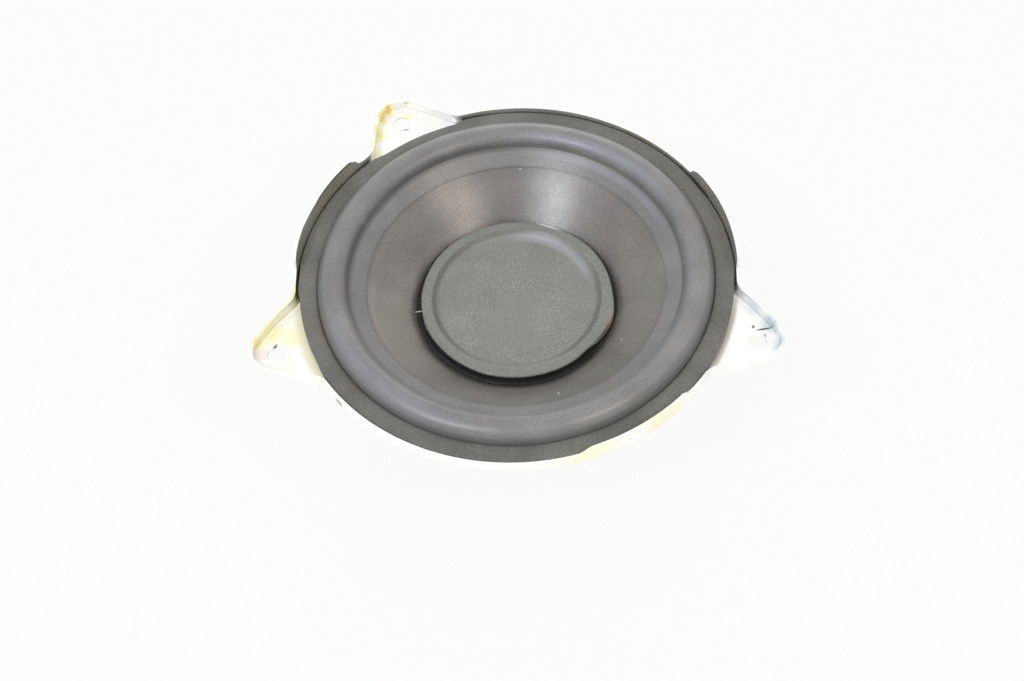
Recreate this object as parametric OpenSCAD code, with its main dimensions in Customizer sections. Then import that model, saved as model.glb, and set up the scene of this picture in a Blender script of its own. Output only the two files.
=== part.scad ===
// Car speaker: a 16 cm cone loudspeaker in a stamped steel frame with three screw ears.
// Millimetres. The origin is the centre of the magnet's rear face, and +Z points out of the cone.

/* [Front rim] */
// Gap between the gasket and the rim's wall
rim_gap = 0.6; // [0.4:0.1:1.5]
// Thickness of the frame's steel sheet
sheet_t = 1.0; // [0.8:0.1:1.2]
// Height of the rim's low stretches above the flange
rim_h = 4.3; // [4:0.1:6]
// How much higher each raised stretch stands
rim_raises = [4.5, 5.3, 2.5]; // [1.5:0.1:6]
// Directions of the raised stretches
raise_angles = [16.2, 159, 302]; // [0:1:360]
// Arc that each raised stretch takes
raise_spans = [35.5, 42, 34]; // [20:1:42]
// Length of the slope at each end of a raised stretch
raise_ramps = [2.5, 2.5, 4.5]; // [1:0.5:6]
// Inside radius of the bends in the frame's sheet
bend_r = 1.0; // [0.6:0.1:1.4]

/* [Screw ears] */
// Directions of the three ears
ear_angles = [120, 200, 340]; // [0:1:360]
// Distance from the rim to the circle that the ear holes lie on
ear_reach = 8.5; // [8:0.5:11]
// Diameter of each screw hole
ear_hole_d = 6.2; // [4.5:0.1:7]
// Radius of the ear's rounded tip, about the hole
ear_tip_r = 8.4; // [7:0.2:10]
// Slant of the ear's sides from its axis
ear_taper = 34; // [28:1:38]
// Radius where the ear's side runs into the rim
ear_root_r = 6; // [4:0.5:8]
// How much lower the ear's rim is at the tip
ear_rim_drop = 1.6; // [0.5:0.1:2.5]
// How far the ear's floor lies behind the flange
ear_sink = 0.2; // [0.1:0.05:0.4]

/* [Frame body] */
// Room between the spider's glue and the cone's neck, for the lead joints
neck_room = 2.3; // [2.2:0.1:5]
// Diameter of the pot between the magnet and the spider's shelf
pot_d = 71; // [69:0.5:72]
// Depth of that pot
pot_depth = 8.5; // [8:0.1:10]
// How much further than the spider its shelf reaches
shelf_margin = 1; // [0.5:0.1:2]
// Hole in the pot's floor, round the voice coil
floor_bore_d = 41; // [38:0.5:44]
// Depth of the straight step behind the flange
step_h = 8.4; // [7:0.2:10]
// Number of legs between the windows
leg_count = 6; // [5:1:7]
// Direction of the first leg
leg_angle = 340; // [0:1:360]
// Width of a leg
leg_w = 16; // [13:0.5:19]
// Distance along the slope from the shelf to the windows
window_start = 7.6; // [7:0.2:8]
// Height of a window along the slope
window_h = 17; // [14:0.5:17.5]
// Corner radius of a window
window_corner_r = 5; // [3:0.5:6]
// Width of the rib pressed into each leg
rib_w = 7; // [6:0.2:8]
// Height of that rib
rib_h = 2; // [1.4:0.1:2.4]

/* [Gasket and surround] */
// Thickness of the front gasket
gasket_t = 2.0; // [1.5:0.1:3]
// Width of the front gasket
gasket_w = 6.2; // [5.8:0.1:6.4]
// Gap between the gasket and the roll
gasket_gap = 0.2; // [0.1:0.05:0.4]
// Diameter of the circle along the roll's crest
roll_d = 120; // [118:0.5:121]
// Width of the roll
roll_w = 10; // [9:0.2:10.4]
// Thickness of the surround
surround_t = 0.6; // [0.5:0.05:0.8]
// Width of the surround's land on the cone
land_w = 5.7; // [4:0.1:7]
// Height of the roll's inner foot above the gasket
roll_rise = 1.0; // [0.4:0.1:1.6]

/* [Cone and dust cap] */
// Slope of the cone
cone_angle = 37; // [35:0.5:39]
// Thickness of the cone
cone_t = 0.9; // [0.6:0.1:1.2]
// Height of the cone's neck on the coil former
neck_h = 3; // [2:0.2:3.6]
// Outer diameter of the dust cap
cap_d = 64.4; // [58:0.2:70]
// Height of the dust cap's side above the cone
cap_h = 4.4; // [3.4:0.1:5.4]
// Thickness of the dust cap
cap_t = 0.7; // [0.5:0.1:1]
// Width of the cap's raised border
cap_border_w = 3.9; // [3:0.1:6]
// Depth of the dished middle of the cap
cap_dish = 1.1; // [0.6:0.1:1.6]
// Width of the slope down to the dished middle
cap_slope_w = 2.4; // [1.6:0.1:3.5]

/* [Voice coil and spider] */
// Diameter of the pole
pole_d = 30.8; // [30:0.1:32]
// Gap between the pole and the coil former
pole_gap = 0.35; // [0.3:0.05:0.5]
// Thickness of the coil former
former_t = 0.25; // [0.2:0.05:0.4]
// Thickness of the coil winding
winding_t = 0.75; // [0.5:0.05:1]
// Length of the coil winding
winding_h = 10; // [8:0.2:11]
// Gap between the winding and the top plate
coil_gap = 0.4; // [0.35:0.05:0.6]
// Outer diameter of the spider
spider_d = 85; // [83:0.5:86]
// Thickness of the spider's cloth
spider_t = 0.5; // [0.4:0.05:0.6]
// Number of waves in the spider
wave_count = 4; // [3:1:5]
// Height of each wave above and below the cloth's level
wave_h = 1.1; // [0.8:0.1:1.4]
// Gap that the glue at the former fills
glue_gap = 0.5; // [0.45:0.05:0.6]

/* [Magnet system] */
// Diameter of the magnet
magnet_d = 72; // [70:1:80]
// Hole in the magnet
magnet_bore_d = 40; // [38:1:44]
// Thickness of the magnet
magnet_t = 15; // [13:0.5:20]
// Diameter of the steel top plate
top_plate_d = 70; // [69:0.5:72]
// Thickness of the top plate
top_plate_t = 5; // [4:0.5:6]
// Diameter of the yoke's rear plate
yoke_d = 66; // [60:1:70]
// Thickness of the yoke's rear plate
yoke_t = 5; // [4:0.5:7]
// Chamfer on the magnet's and the plates' edges
edge_c = 1; // [0.5:0.1:1.5]
// Number of stakes that hold the frame to the top plate
stake_count = 4; // [3:1:6]
// Diameter of the circle that the stakes lie on
stake_circle_d = 56; // [52:0.5:58]
// Diameter of a stake
stake_d = 4; // [3:0.5:5]
// Gap round stakes and rivets in their holes
rivet_play = 0.05; // [0.03:0.01:0.1]

/* [Terminals] */
// Length of the lug outside the shelf
lug_l = 17; // [16:0.5:19]
// Width of the lug
lug_w = 12; // [10:0.5:13]
// Width of the terminal board
board_w = 34; // [32:0.5:38]
// Length of the terminal board
board_l = 12; // [11:0.5:13]
// Thickness of the terminal board
board_t = 1.6; // [1.2:0.1:2]
// Distance between the two terminals
terminal_pitch = 22; // [21:0.5:24]
// Width of the positive blade
positive_w = 6.3; // [5.5:0.1:7]
// Width of the negative blade
negative_w = 4.8; // [4:0.1:5.5]
// Thickness of the blades
blade_t = 0.8; // [0.5:0.1:1]
// Length of a blade beyond the board
blade_l = 8; // [6:0.5:9]
// Height of a terminal's solder tag
tag_h = 3.4; // [2.6:0.1:3.8]
// Diameter of the terminals' rivets
rivet_d = 2.5; // [2:0.1:3]
// Diameter of the flexible leads to the coil
lead_d = 1.2; // [0.8:0.1:1.6]
// How far the leads' loop stands up between its ends
lead_rise = 6.4; // [4:0.2:8]

/* [Hidden] */
$fn = 96;

steel = "#c9bd7d";
dark_paper = "#6d6864";
dark_foam = "#77767a";
gasket_grey = "#6a6a66";
felt_grey = "#8f918a";
plate_zinc = "#bcb28a";
ferrite = "#3b3b3d";
copper = "#a8643a";
brass_tin = "#c8c6bc";
board_brown = "#7d5a36";
cloth_amber = "#a8803f";

// Radii from the roll out to the rim's wall
roll_r = roll_w / 2;
roll_inner_r = roll_d / 2 - roll_r;
roll_outer_r = roll_d / 2 + roll_r;
gasket_inner_r = roll_outer_r + gasket_gap;
gasket_outer_r = gasket_inner_r + gasket_w;
rim_inner_r = gasket_outer_r + rim_gap;
rim_mid_r = rim_inner_r + sheet_t / 2;
rim_r = rim_inner_r + sheet_t;
bend_play = 0.1;
land_outer_r = rim_inner_r - bend_r - bend_play;

// Radii from the pole out to the cone's neck
former_inner_r = pole_d / 2 + pole_gap;
former_r = former_inner_r + former_t;
winding_r = former_r + winding_t;
gap_r = winding_r + coil_gap;
neck_glue_gap = glue_gap / 2;
neck_r = former_r + neck_glue_gap + cone_t / 2;

// The frame is as deep as the spider, the cone and the room between them need, to a tenth
collar_h = 1.0;
collar_bead = 0.8;
cone_rise = (roll_inner_r - neck_r) * tan(cone_angle) + (cone_t / 2 + surround_t) / cos(cone_angle);
bowl_depth = neck_h + cone_rise - roll_rise - gasket_t - surround_t;
frame_depth = round(
    10 * (pot_depth + spider_t / 2 + collar_h + collar_bead + neck_room + bowl_depth)
) / 10;

// Levels from the rear face to the front
magnet_z = yoke_t;
top_plate_z = magnet_z + magnet_t;
seat_z = top_plate_z + top_plate_t;
shelf_z = seat_z + pot_depth;
flange_z = seat_z + frame_depth;
front_z = flange_z + surround_t + gasket_t;
rim_top_z = flange_z + rim_h;
raised_top_z = rim_top_z + max(rim_raises);

// The cone's front surface is a straight slope from the roll's inner foot to the former
function cone_front(r) =
    front_z + roll_rise - surround_t / cos(cone_angle) - (roll_inner_r - r) * tan(cone_angle);
function cone_middle(r) = cone_front(r) - cone_t / 2 / cos(cone_angle);
neck_z = cone_middle(neck_r);
neck_bend_r = 2;
cone_edge_gap = 0.6;
cone_edge_r = roll_inner_r - cone_edge_gap;
former_stub = 2;
former_top_z = neck_z + former_stub;
neck_foot_z = neck_z - neck_h;
coil_z = top_plate_z + top_plate_t / 2;
winding_bottom_z = coil_z - winding_h / 2;
winding_top_z = coil_z + winding_h / 2;
cap_r = cap_d / 2;
cap_foot_z = cone_front(cap_r);
cap_top_z = cap_foot_z + cap_h;
cap_bend_r = 1.2;
glue_bead = 1.2;

// The spider lies on its shelf, and its collar stands round the former
spider_z = shelf_z + spider_t / 2;
collar_r = former_r + glue_gap + spider_t / 2;
collar_top_z = spider_z + collar_h;
wave_start_r = collar_r + 1.2;
wave_end_r = pot_d / 2 - sheet_t - 0.8;
wave_steps = 8;

// The two lead wires run up the former to their joints, between the spider and the cone's neck
wire_t = 0.35;
wire_w = 0.7;
wire_spread = 13.4;
joint_d = 2;
joint_l = 2.2;
joint_z = (collar_top_z + collar_bead + neck_foot_z) / 2;
lead_gap = 0.1;

// Terminal board on its lug in the middle of a window, measured outwards from the shelf's edge
terminal_angle = leg_angle + 1.5 * 360 / leg_count;
shelf_r = spider_d / 2 + shelf_margin;
rivet_head_t = 0.7;
rivet_head_w = 1;
rivet_crown_w = 0.5;
stake_sunk = 3;
stake_head_w = 1.2;
board_gap = 5.5;
board_x = shelf_r + board_gap;
board_z = shelf_z + board_t;
blade_z = board_z + blade_t;
rivet_x = board_x + board_l / 2;
tag_x = board_x + 2;
tag_w = 4;
lead_sides = 8;
lead_steps = 2;

// Unit vector, and a vector turned a quarter turn to the left
function unit(v) = v / norm(v);
function left(v) = [-v[1], v[0]];
function reversed(p) = [for (i = [len(p) - 1:-1:0]) p[i]];

// A path moved sideways by d, mitred at its corners
function beside(p, d) = [
    for (i = [0:len(p) - 1])
        let (
            before = i == 0 ? unit(p[1] - p[0]) : unit(p[i] - p[i - 1]),
            after = i == len(p) - 1 ? before : unit(p[i + 1] - p[i]),
            n = unit(left(before) + left(after))
        )
        p[i] + n * d / (n * left(before))
];

// Outline of a sheet of thickness t that follows a path
function sheet(p, t) = concat(beside(p, t / 2), reversed(beside(p, -t / 2)));

// Points of an arc of radius r that rounds the corner b between a and c
function corner(a, b, c, r, n) =
    let (
        u = unit(a - b),
        w = unit(c - b),
        half = acos(u * w) / 2,
        centre = b + unit(u + w) * r / sin(half),
        first = b + u * r / tan(half) - centre,
        last = b + w * r / tan(half) - centre,
        start = atan2(first[1], first[0]),
        turn = atan2(last[1], last[0]) - start,
        sweep = turn > 180 ? turn - 360 : turn < -180 ? turn + 360 : turn
    )
    [for (k = [0:n]) centre + r * [cos(start + sweep * k / n), sin(start + sweep * k / n)]];

// An open path and a closed loop with each corner rounded
function rounded(p, r, n = 4) = [
    p[0],
    for (i = [1:len(p) - 2]) each corner(p[i - 1], p[i], p[i + 1], r, n),
    p[len(p) - 1]
];
function rounded_loop(p, r, n = 5) = [
    for (i = [0:len(p) - 1])
        each corner(p[(i + len(p) - 1) % len(p)], p[i], p[(i + 1) % len(p)], r, n)
];

function arc(centre, r, from, to, n) = [
    for (k = [0:n]) centre + r * [cos(from + (to - from) * k / n), sin(from + (to - from) * k / n)]
];

// One line of sheet from the pot's floor, up the legs and over the flange to the rim
wall_bottom = [shelf_r, shelf_z - sheet_t / 2];
wall_top = [roll_outer_r - 2.5, flange_z - step_h];
wall_way = unit(wall_top - wall_bottom);
wall_out = [wall_way[1], -wall_way[0]];
wall_l = norm(wall_top - wall_bottom);
frame_line = [
    [floor_bore_d / 2, seat_z + sheet_t / 2],
    [pot_d / 2 - sheet_t / 2 - 0.5, seat_z + sheet_t / 2],
    [pot_d / 2 - sheet_t / 2 + 0.5, shelf_z - sheet_t / 2],
    wall_bottom,
    wall_top,
    [roll_outer_r - 1.1, flange_z - sheet_t / 2],
    [rim_mid_r, flange_z - sheet_t / 2],
    [rim_mid_r, rim_top_z],
];
frame_path = rounded(frame_line, bend_r + sheet_t / 2);

// An ear's outline, drawn along +X, with its root running into the rim
ear_x = rim_r + ear_reach;
ear_floor_z = flange_z - ear_sink;
side_way = [-cos(ear_taper), sin(ear_taper)];
side_out = [sin(ear_taper), cos(ear_taper)];
root_line = [ear_x, 0] + side_out * (ear_tip_r + ear_root_r);
root_reach = rim_mid_r + ear_root_r;
root_b = root_line * side_way;
root_run = -root_b - sqrt(root_b ^ 2 - root_line * root_line + root_reach ^ 2);
root_run_far = -root_b + sqrt(root_b ^ 2 - root_line * root_line + root_reach ^ 2);
root_centre = root_line + side_way * (root_run > 0 ? root_run : root_run_far);
root_angle = atan2(root_centre[1], root_centre[0]);

// The hollow of the ear opens into the frame from just behind the face of the rim's wall
wall_bite = 0.15;
hollow_reach = rim_inner_r + wall_bite;
hollow_root_r = ear_root_r + sheet_t;
hollow_turn = acos(
    (root_reach ^ 2 + hollow_root_r ^ 2 - hollow_reach ^ 2) / (2 * root_reach * hollow_root_r)
);
ear_inner_r = rim_inner_r - 6;
function ear_half(inset, turn) =
    let (side = arc(root_centre, ear_root_r + inset, root_angle + 180 + turn, 270 - ear_taper, 8))
    concat(
        [ear_inner_r * unit(side[0])],
        side,
        arc([ear_x, 0], ear_tip_r - inset, 90 - ear_taper, 0, 8)
    );
function ear_outline(inset, turn) =
    let (half = ear_half(inset, turn))
    concat(half, [for (p = reversed(half)) [p[0], -p[1]]]);

// The spider's cloth, from its collar across the waves to its edge
spider_path = concat(
    [[collar_r, collar_top_z], [collar_r, spider_z]],
    [
        for (k = [0:wave_count * wave_steps])
            let (share = k / wave_count / wave_steps)
            [
                wave_start_r + (wave_end_r - wave_start_r) * share,
                spider_z + wave_h * sin(360 * wave_count * share)
            ]
    ],
    [[spider_d / 2, spider_z]]
);

// The cone, from its edge under the surround to the bottom of its neck
cone_path = rounded(
    [
        [cone_edge_r, cone_middle(cone_edge_r)],
        [neck_r, neck_z],
        [neck_r, neck_foot_z]
    ],
    neck_bend_r
);

// The dust cap, from its foot over the raised border to the dished middle
cap_line = [
    [cap_r - cap_t / 2, cap_foot_z],
    [cap_r - cap_t / 2, cap_top_z - cap_t / 2],
    [cap_r - cap_border_w, cap_top_z - cap_t / 2],
    [cap_r - cap_border_w - cap_slope_w, cap_top_z - cap_t / 2 - cap_dish],
    [0, cap_top_z - cap_t / 2 - cap_dish]
];
cap_path = rounded(cap_line, cap_bend_r, 5);

// Route of the positive lead, from the terminal's tag in a loop to its joint: how far along each
// point is, and how high it stands as a share of the loop's rise
lead_start = [tag_x + blade_t / 2, terminal_pitch / 2, blade_z + tag_h];
lead_end_r = former_r + wire_t + joint_l + lead_gap;
lead_end = [lead_end_r * cos(wire_spread), lead_end_r * sin(wire_spread), joint_z];
lead_loop = [
    [0, 0], [0, 0.25], [0.04, 0.52], [0.12, 0.87], [0.25, 0.99],
    [0.46, 0.83], [0.7, 0.4], [0.88, 0.1], [1, 0]
];
lead_route = [
    for (p = lead_loop) lead_start + (lead_end - lead_start) * p[0] + [0, 0, lead_rise * p[1]]
];

// A smooth line through the route's points, and rings of points square to it
function between(a, b, c, d, t) =
    0.5 * (2 * b + (c - a) * t + (2 * a - 5 * b + 4 * c - d) * t ^ 2
        + (3 * b - a - 3 * c + d) * t ^ 3);
function smooth(p, n) = [
    for (i = [0:len(p) - 2])
        for (k = [0:n - 1])
            between(p[max(i - 1, 0)], p[i], p[i + 1], p[min(i + 2, len(p) - 1)], k / n),
    p[len(p) - 1]
];
function ring(p, i, r) =
    let (
        way = i == 0 ? unit(p[1] - p[0])
            : i == len(p) - 1 ? unit(p[i] - p[i - 1])
            : unit(p[i + 1] - p[i - 1]),
        across = unit(cross(way, [0, 1, 0])),
        up = cross(way, across)
    )
    [
        for (k = [0:lead_sides - 1])
            p[i] + r * (across * cos(360 * k / lead_sides) + up * sin(360 * k / lead_sides))
    ];

module tube_along(route, d) {
    line = smooth(route, lead_steps);
    points = [for (i = [0:len(line) - 1]) each ring(line, i, d / 2)];
    last = (len(line) - 1) * lead_sides;
    sides = [
        for (i = [0:len(line) - 2])
            for (k = [0:lead_sides - 1])
                let (a = i * lead_sides + k, b = i * lead_sides + (k + 1) % lead_sides)
                each [[a, b, b + lead_sides], [a, b + lead_sides, a + lead_sides]]
    ];
    polyhedron(
        points,
        concat(
            sides,
            [for (k = [1:lead_sides - 2]) [0, k + 1, k]],
            [for (k = [1:lead_sides - 2]) [last, last + k, last + k + 1]]
        )
    );
}

module turned_tube(outer_r, inner_r, z, h) {
    translate([0, 0, z])
        difference() {
            cylinder(r = outer_r, h = h);
            translate([0, 0, -1]) cylinder(r = inner_r, h = h + 2);
        }
}

// A disc with a bore, chamfered at its outer edges
module chamfered_ring(outer_r, inner_r, z, h) {
    rotate_extrude()
        polygon([
            [inner_r, z],
            [outer_r - edge_c, z],
            [outer_r, z + edge_c],
            [outer_r, z + h - edge_c],
            [outer_r - edge_c, z + h],
            [inner_r, z + h]
        ]);
}

// The rim's wall carried up over an arc, with a slope at each end
module raised_stretch(angle, span, ramp, rise) {
    top_z = rim_top_z + rise;
    half = rim_mid_r * sin(span / 2);
    side = rounded_loop(
        [
            [-half, flange_z + 1],
            [half, flange_z + 1],
            [half, rim_top_z],
            [half - ramp, top_z],
            [-half + ramp, top_z],
            [-half, rim_top_z]
        ],
        0.8
    );
    intersection() {
        turned_tube(rim_r, rim_inner_r, flange_z + bend_r, raised_top_z - flange_z - bend_r);
        rotate([0, 0, angle])
            translate([rim_r / 2, 0, 0])
                rotate([90, 0, 90])
                    linear_extrude(rim_r)
                        polygon(side);
    }
}

// An ear as a full block, its top sloping down to the tip and its floor lapping under the flange
module ear_block() {
    tip_x = ear_x + ear_tip_r;
    lap_r = rim_inner_r - 3;
    lap_t = sheet_t - 0.2;
    bottom = ear_floor_z - sheet_t;
    difference() {
        intersection() {
            translate([0, 0, bottom])
                linear_extrude(rim_top_z - bottom)
                    polygon(ear_outline(0, 0));
            translate([0, rim_r / 2, 0])
                rotate([90, 0, 0])
                    linear_extrude(rim_r)
                        polygon([
                            [ear_inner_r - 4, bottom - 1],
                            [tip_x + 1, bottom - 1],
                            [tip_x + 1, rim_top_z - ear_rim_drop],
                            [rim_r, rim_top_z],
                            [ear_inner_r - 4, rim_top_z]
                        ]);
        }
        translate([0, 0, bottom - 1]) cylinder(r = lap_r, h = sheet_t + rim_h + 2);
        translate([0, 0, bottom + lap_t])
            cylinder(r = rim_inner_r + 2 * wall_bite, h = rim_h + 1);
    }
}

module ear_hollow() {
    difference() {
        translate([0, 0, ear_floor_z])
            linear_extrude(raised_top_z - ear_floor_z + 1)
                polygon(ear_outline(sheet_t, hollow_turn));
        translate([0, 0, ear_floor_z - 1])
            cylinder(r = rim_inner_r - bend_r - 0.05, h = raised_top_z - flange_z + 3);
    }
    translate([ear_x, 0, ear_floor_z - sheet_t - 1])
        cylinder(d = ear_hole_d, h = sheet_t + 2);
}

// Places a form on the legs' slope: X runs up the slope, and Z points outwards from it
module on_wall() {
    multmatrix([
        [wall_way[0], 0, wall_out[0], wall_bottom[0]],
        [0, 1, 0, 0],
        [wall_way[1], 0, wall_out[1], wall_bottom[1]],
        [0, 0, 0, 1]
    ])
        children();
}

// Half the width of a window at radius r, between two legs with parallel sides
function window_half(r) = r * sin(180 / leg_count - asin(leg_w / 2 / r));

module window() {
    low = window_start;
    high = low + window_h;
    low_r = wall_bottom[0] + low * wall_way[0];
    high_r = wall_bottom[0] + high * wall_way[0];
    inward = 9;
    outward = 6;
    on_wall()
        translate([0, 0, -inward])
            linear_extrude(inward + outward)
                polygon(rounded_loop(
                    [
                        [low, -window_half(low_r)],
                        [high, -window_half(high_r)],
                        [high, window_half(high_r)],
                        [low, window_half(low_r)]
                    ],
                    window_corner_r
                ));
}

// A rib pressed out of a leg, as a full block or as the hollow behind it
module rib(inset, depth, low) {
    margin = 4.6;
    ramp = 3;
    on_wall()
        translate([0, rib_w / 2 - inset, 0])
            rotate([90, 0, 0])
                linear_extrude(rib_w - 2 * inset)
                    polygon([
                        [margin + inset, low],
                        [margin + ramp + inset / 2, depth],
                        [wall_l - margin - ramp - inset / 2, depth],
                        [wall_l - margin - inset, low]
                    ]);
}

module lug() {
    lug_r = 2;
    outer = shelf_r + lug_l;
    translate([0, 0, shelf_z - sheet_t])
        linear_extrude(sheet_t)
            polygon(concat(
                [[shelf_r - 2, -lug_w / 2]],
                arc([outer - lug_r, -lug_w / 2 + lug_r], lug_r, -90, 0, 4),
                arc([outer - lug_r, lug_w / 2 - lug_r], lug_r, 0, 90, 4),
                [[shelf_r - 2, lug_w / 2]]
            ));
}

module frame() {
    color(steel)
        difference() {
            union() {
                difference() {
                    union() {
                        rotate_extrude() polygon(sheet(frame_path, sheet_t));
                        for (i = [0:len(raise_angles) - 1])
                            raised_stretch(
                                raise_angles[i], raise_spans[i], raise_ramps[i], rim_raises[i]
                            );
                        for (a = ear_angles) rotate([0, 0, a]) ear_block();
                        for (i = [0:leg_count - 1])
                            rotate([0, 0, leg_angle + i * 360 / leg_count])
                                rib(0, sheet_t / 2 + rib_h, 0);
                    }
                    for (a = ear_angles) rotate([0, 0, a]) ear_hollow();
                    for (i = [0:leg_count - 1]) {
                        rotate([0, 0, leg_angle + (i + 0.5) * 360 / leg_count]) window();
                        rotate([0, 0, leg_angle + i * 360 / leg_count])
                            rib(sheet_t, rib_h - sheet_t / 2, -2 * sheet_t);
                    }
                }
                rotate([0, 0, terminal_angle]) lug();
            }
            stakes(rivet_play, false);
            rotate([0, 0, terminal_angle])
                translate([rivet_x, 0, shelf_z - sheet_t - 1])
                    cylinder(d = rivet_d + 2 * rivet_play, h = sheet_t + 2, $fn = 48);
        }
}

module front_gasket() {
    edge = 0.3;
    color(gasket_grey)
        rotate_extrude()
            polygon([
                [gasket_inner_r, front_z - gasket_t],
                [gasket_outer_r, front_z - gasket_t],
                [gasket_outer_r, front_z - edge],
                [gasket_outer_r - edge, front_z],
                [gasket_inner_r + edge, front_z],
                [gasket_inner_r, front_z - edge]
            ]);
}

// Half a roll, with a land on the cone inside it and a land under the gasket outside
module surround() {
    land_drop = surround_t / cos(cone_angle);
    land_inner_r = roll_inner_r - land_w;
    landing_z = flange_z + surround_t;
    color(dark_foam)
        rotate_extrude() {
            difference() {
                translate([roll_d / 2, front_z]) circle(r = roll_r);
                translate([roll_d / 2, front_z]) circle(r = roll_r - surround_t);
                translate([0, front_z - roll_r - 1]) square([roll_d / 2, roll_r + 1 + roll_rise]);
                translate([0, front_z - roll_r - 1]) square([rim_r, roll_r + 1]);
            }
            polygon([
                [land_inner_r, cone_front(land_inner_r)],
                [roll_inner_r + surround_t, cone_front(roll_inner_r + surround_t)],
                [roll_inner_r + surround_t, cone_front(roll_inner_r + surround_t) + land_drop],
                [land_inner_r, cone_front(land_inner_r) + land_drop]
            ]);
            translate([roll_outer_r - surround_t, flange_z])
                square([surround_t, front_z - flange_z]);
            translate([roll_outer_r - surround_t, flange_z])
                square([land_outer_r - roll_outer_r + surround_t, surround_t]);
        }
}

module cone_solid() {
    rotate_extrude() polygon(sheet(cone_path, cone_t));
}

module cone() {
    color(dark_paper) cone_solid();
}

module dust_cap() {
    color(felt_grey) rotate_extrude() polygon(sheet(cap_path, cap_t));
}

module dust_cap_glue() {
    color(ferrite)
        rotate_extrude()
            polygon([
                [cap_r, cap_foot_z],
                [cap_r + glue_bead, cone_front(cap_r + glue_bead)],
                [cap_r, cap_foot_z + glue_bead]
            ]);
}

// Glue between the former and the cone's neck, with a bead in front of it
module cone_neck_glue() {
    bend_reach = neck_bend_r * tan(45 - cone_angle / 2);
    bead_r = neck_r + glue_bead;
    color(ferrite)
        difference() {
            rotate_extrude()
                polygon([
                    [former_r, neck_foot_z],
                    [neck_r, neck_foot_z],
                    [neck_r, neck_z - bend_reach],
                    [neck_r + bend_reach * cos(cone_angle), neck_z + bend_reach * sin(cone_angle)],
                    [bead_r, cone_front(bead_r)],
                    [former_r, former_top_z - 0.3]
                ]);
            cone_solid();
        }
}

module coil_former() {
    color(cloth_amber)
        turned_tube(former_r, former_inner_r, winding_bottom_z, former_top_z - winding_bottom_z);
}

module coil_winding() {
    color(copper) turned_tube(winding_r, former_r, winding_bottom_z, winding_h);
}

// A flattened lead wire on the former, or with room round it, the groove that it lies in
module wire(room = 0) {
    half = (wire_w / 2 + room) / former_r * 180 / PI;
    inner_r = former_r - 10 * room;
    rotate([0, 0, -half])
        translate([0, 0, winding_top_z])
            rotate_extrude(angle = 2 * half)
                translate([inner_r, 0])
                    square([former_r + wire_t + room - inner_r, joint_z + joint_d / 2 - winding_top_z]);
}

module coil_wires() {
    color(copper)
        for (side = [-1, 1])
            rotate([0, 0, terminal_angle + side * wire_spread]) wire();
}

module spider() {
    color(cloth_amber) rotate_extrude() polygon(sheet(spider_path, spider_t));
}

// Glue between the spider's collar and the former, with a bead on top
module spider_glue() {
    collar_inner_r = former_r + glue_gap;
    color(ferrite)
        difference() {
            rotate_extrude()
                polygon([
                    [former_r, spider_z],
                    [collar_inner_r, spider_z],
                    [collar_inner_r, collar_top_z],
                    [collar_inner_r + spider_t, collar_top_z],
                    [former_r, collar_top_z + collar_bead]
                ]);
            for (side = [-1, 1])
                rotate([0, 0, terminal_angle + side * wire_spread]) wire(0.02);
        }
}

module top_plate() {
    color(plate_zinc)
        difference() {
            chamfered_ring(top_plate_d / 2, gap_r, top_plate_z, top_plate_t);
            stakes(rivet_play, false);
        }
}

module magnet() {
    color(ferrite) chamfered_ring(magnet_d / 2, magnet_bore_d / 2, magnet_z, magnet_t);
}

// Rear plate and pole, forged as one piece
module yoke() {
    root_r = 1;
    color(plate_zinc)
        rotate_extrude()
            polygon([
                [0, 0],
                [yoke_d / 2 - edge_c, 0],
                [yoke_d / 2, edge_c],
                [yoke_d / 2, yoke_t - edge_c],
                [yoke_d / 2 - edge_c, yoke_t],
                [pole_d / 2 + root_r, yoke_t],
                [pole_d / 2, yoke_t + root_r],
                [pole_d / 2, seat_z - edge_c / 2],
                [pole_d / 2 - edge_c / 2, seat_z],
                [0, seat_z]
            ]);
}

// Round stakes from the top plate through the frame's floor, with or without their heads
module stakes(grow, heads) {
    for (i = [0:stake_count - 1])
        rotate([0, 0, leg_angle + (i + 0.5) * 360 / stake_count])
            translate([stake_circle_d / 2, 0, seat_z]) {
                translate([0, 0, -stake_sunk - grow])
                    cylinder(d = stake_d + 2 * grow, h = stake_sunk + sheet_t + 2 * grow, $fn = 48);
                if (heads)
                    translate([0, 0, sheet_t])
                        cylinder(
                            d1 = stake_d + 2 * stake_head_w,
                            d2 = stake_d + 2 * rivet_crown_w,
                            h = rivet_head_t,
                            $fn = 48
                        );
            }
}

module frame_stakes() {
    color(plate_zinc) stakes(0, true);
}

module terminal_board() {
    color(board_brown)
        rotate([0, 0, terminal_angle])
            difference() {
                translate([0, 0, shelf_z])
                    linear_extrude(board_t)
                        polygon(rounded_loop(
                            [
                                [board_x, -board_w / 2],
                                [board_x + board_l, -board_w / 2],
                                [board_x + board_l, board_w / 2],
                                [board_x, board_w / 2]
                            ],
                            1.5
                        ));
                for (y = [-terminal_pitch / 2, 0, terminal_pitch / 2])
                    translate([rivet_x, y, shelf_z - 1])
                        cylinder(d = rivet_d + 2 * rivet_play, h = board_t + 2, $fn = 48);
            }
}

// A rivet through a stack from z to z + h, with a head at each end
module rivet(z, h) {
    head_d = rivet_d + 2 * rivet_head_w;
    crown_d = rivet_d + 2 * rivet_crown_w;
    translate([rivet_x, 0, z]) {
        cylinder(d = rivet_d, h = h, $fn = 48);
        translate([0, 0, -rivet_head_t])
            cylinder(d1 = crown_d, d2 = head_d, h = rivet_head_t, $fn = 48);
        translate([0, 0, h])
            cylinder(d1 = head_d, d2 = crown_d, h = rivet_head_t, $fn = 48);
    }
}

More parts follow.
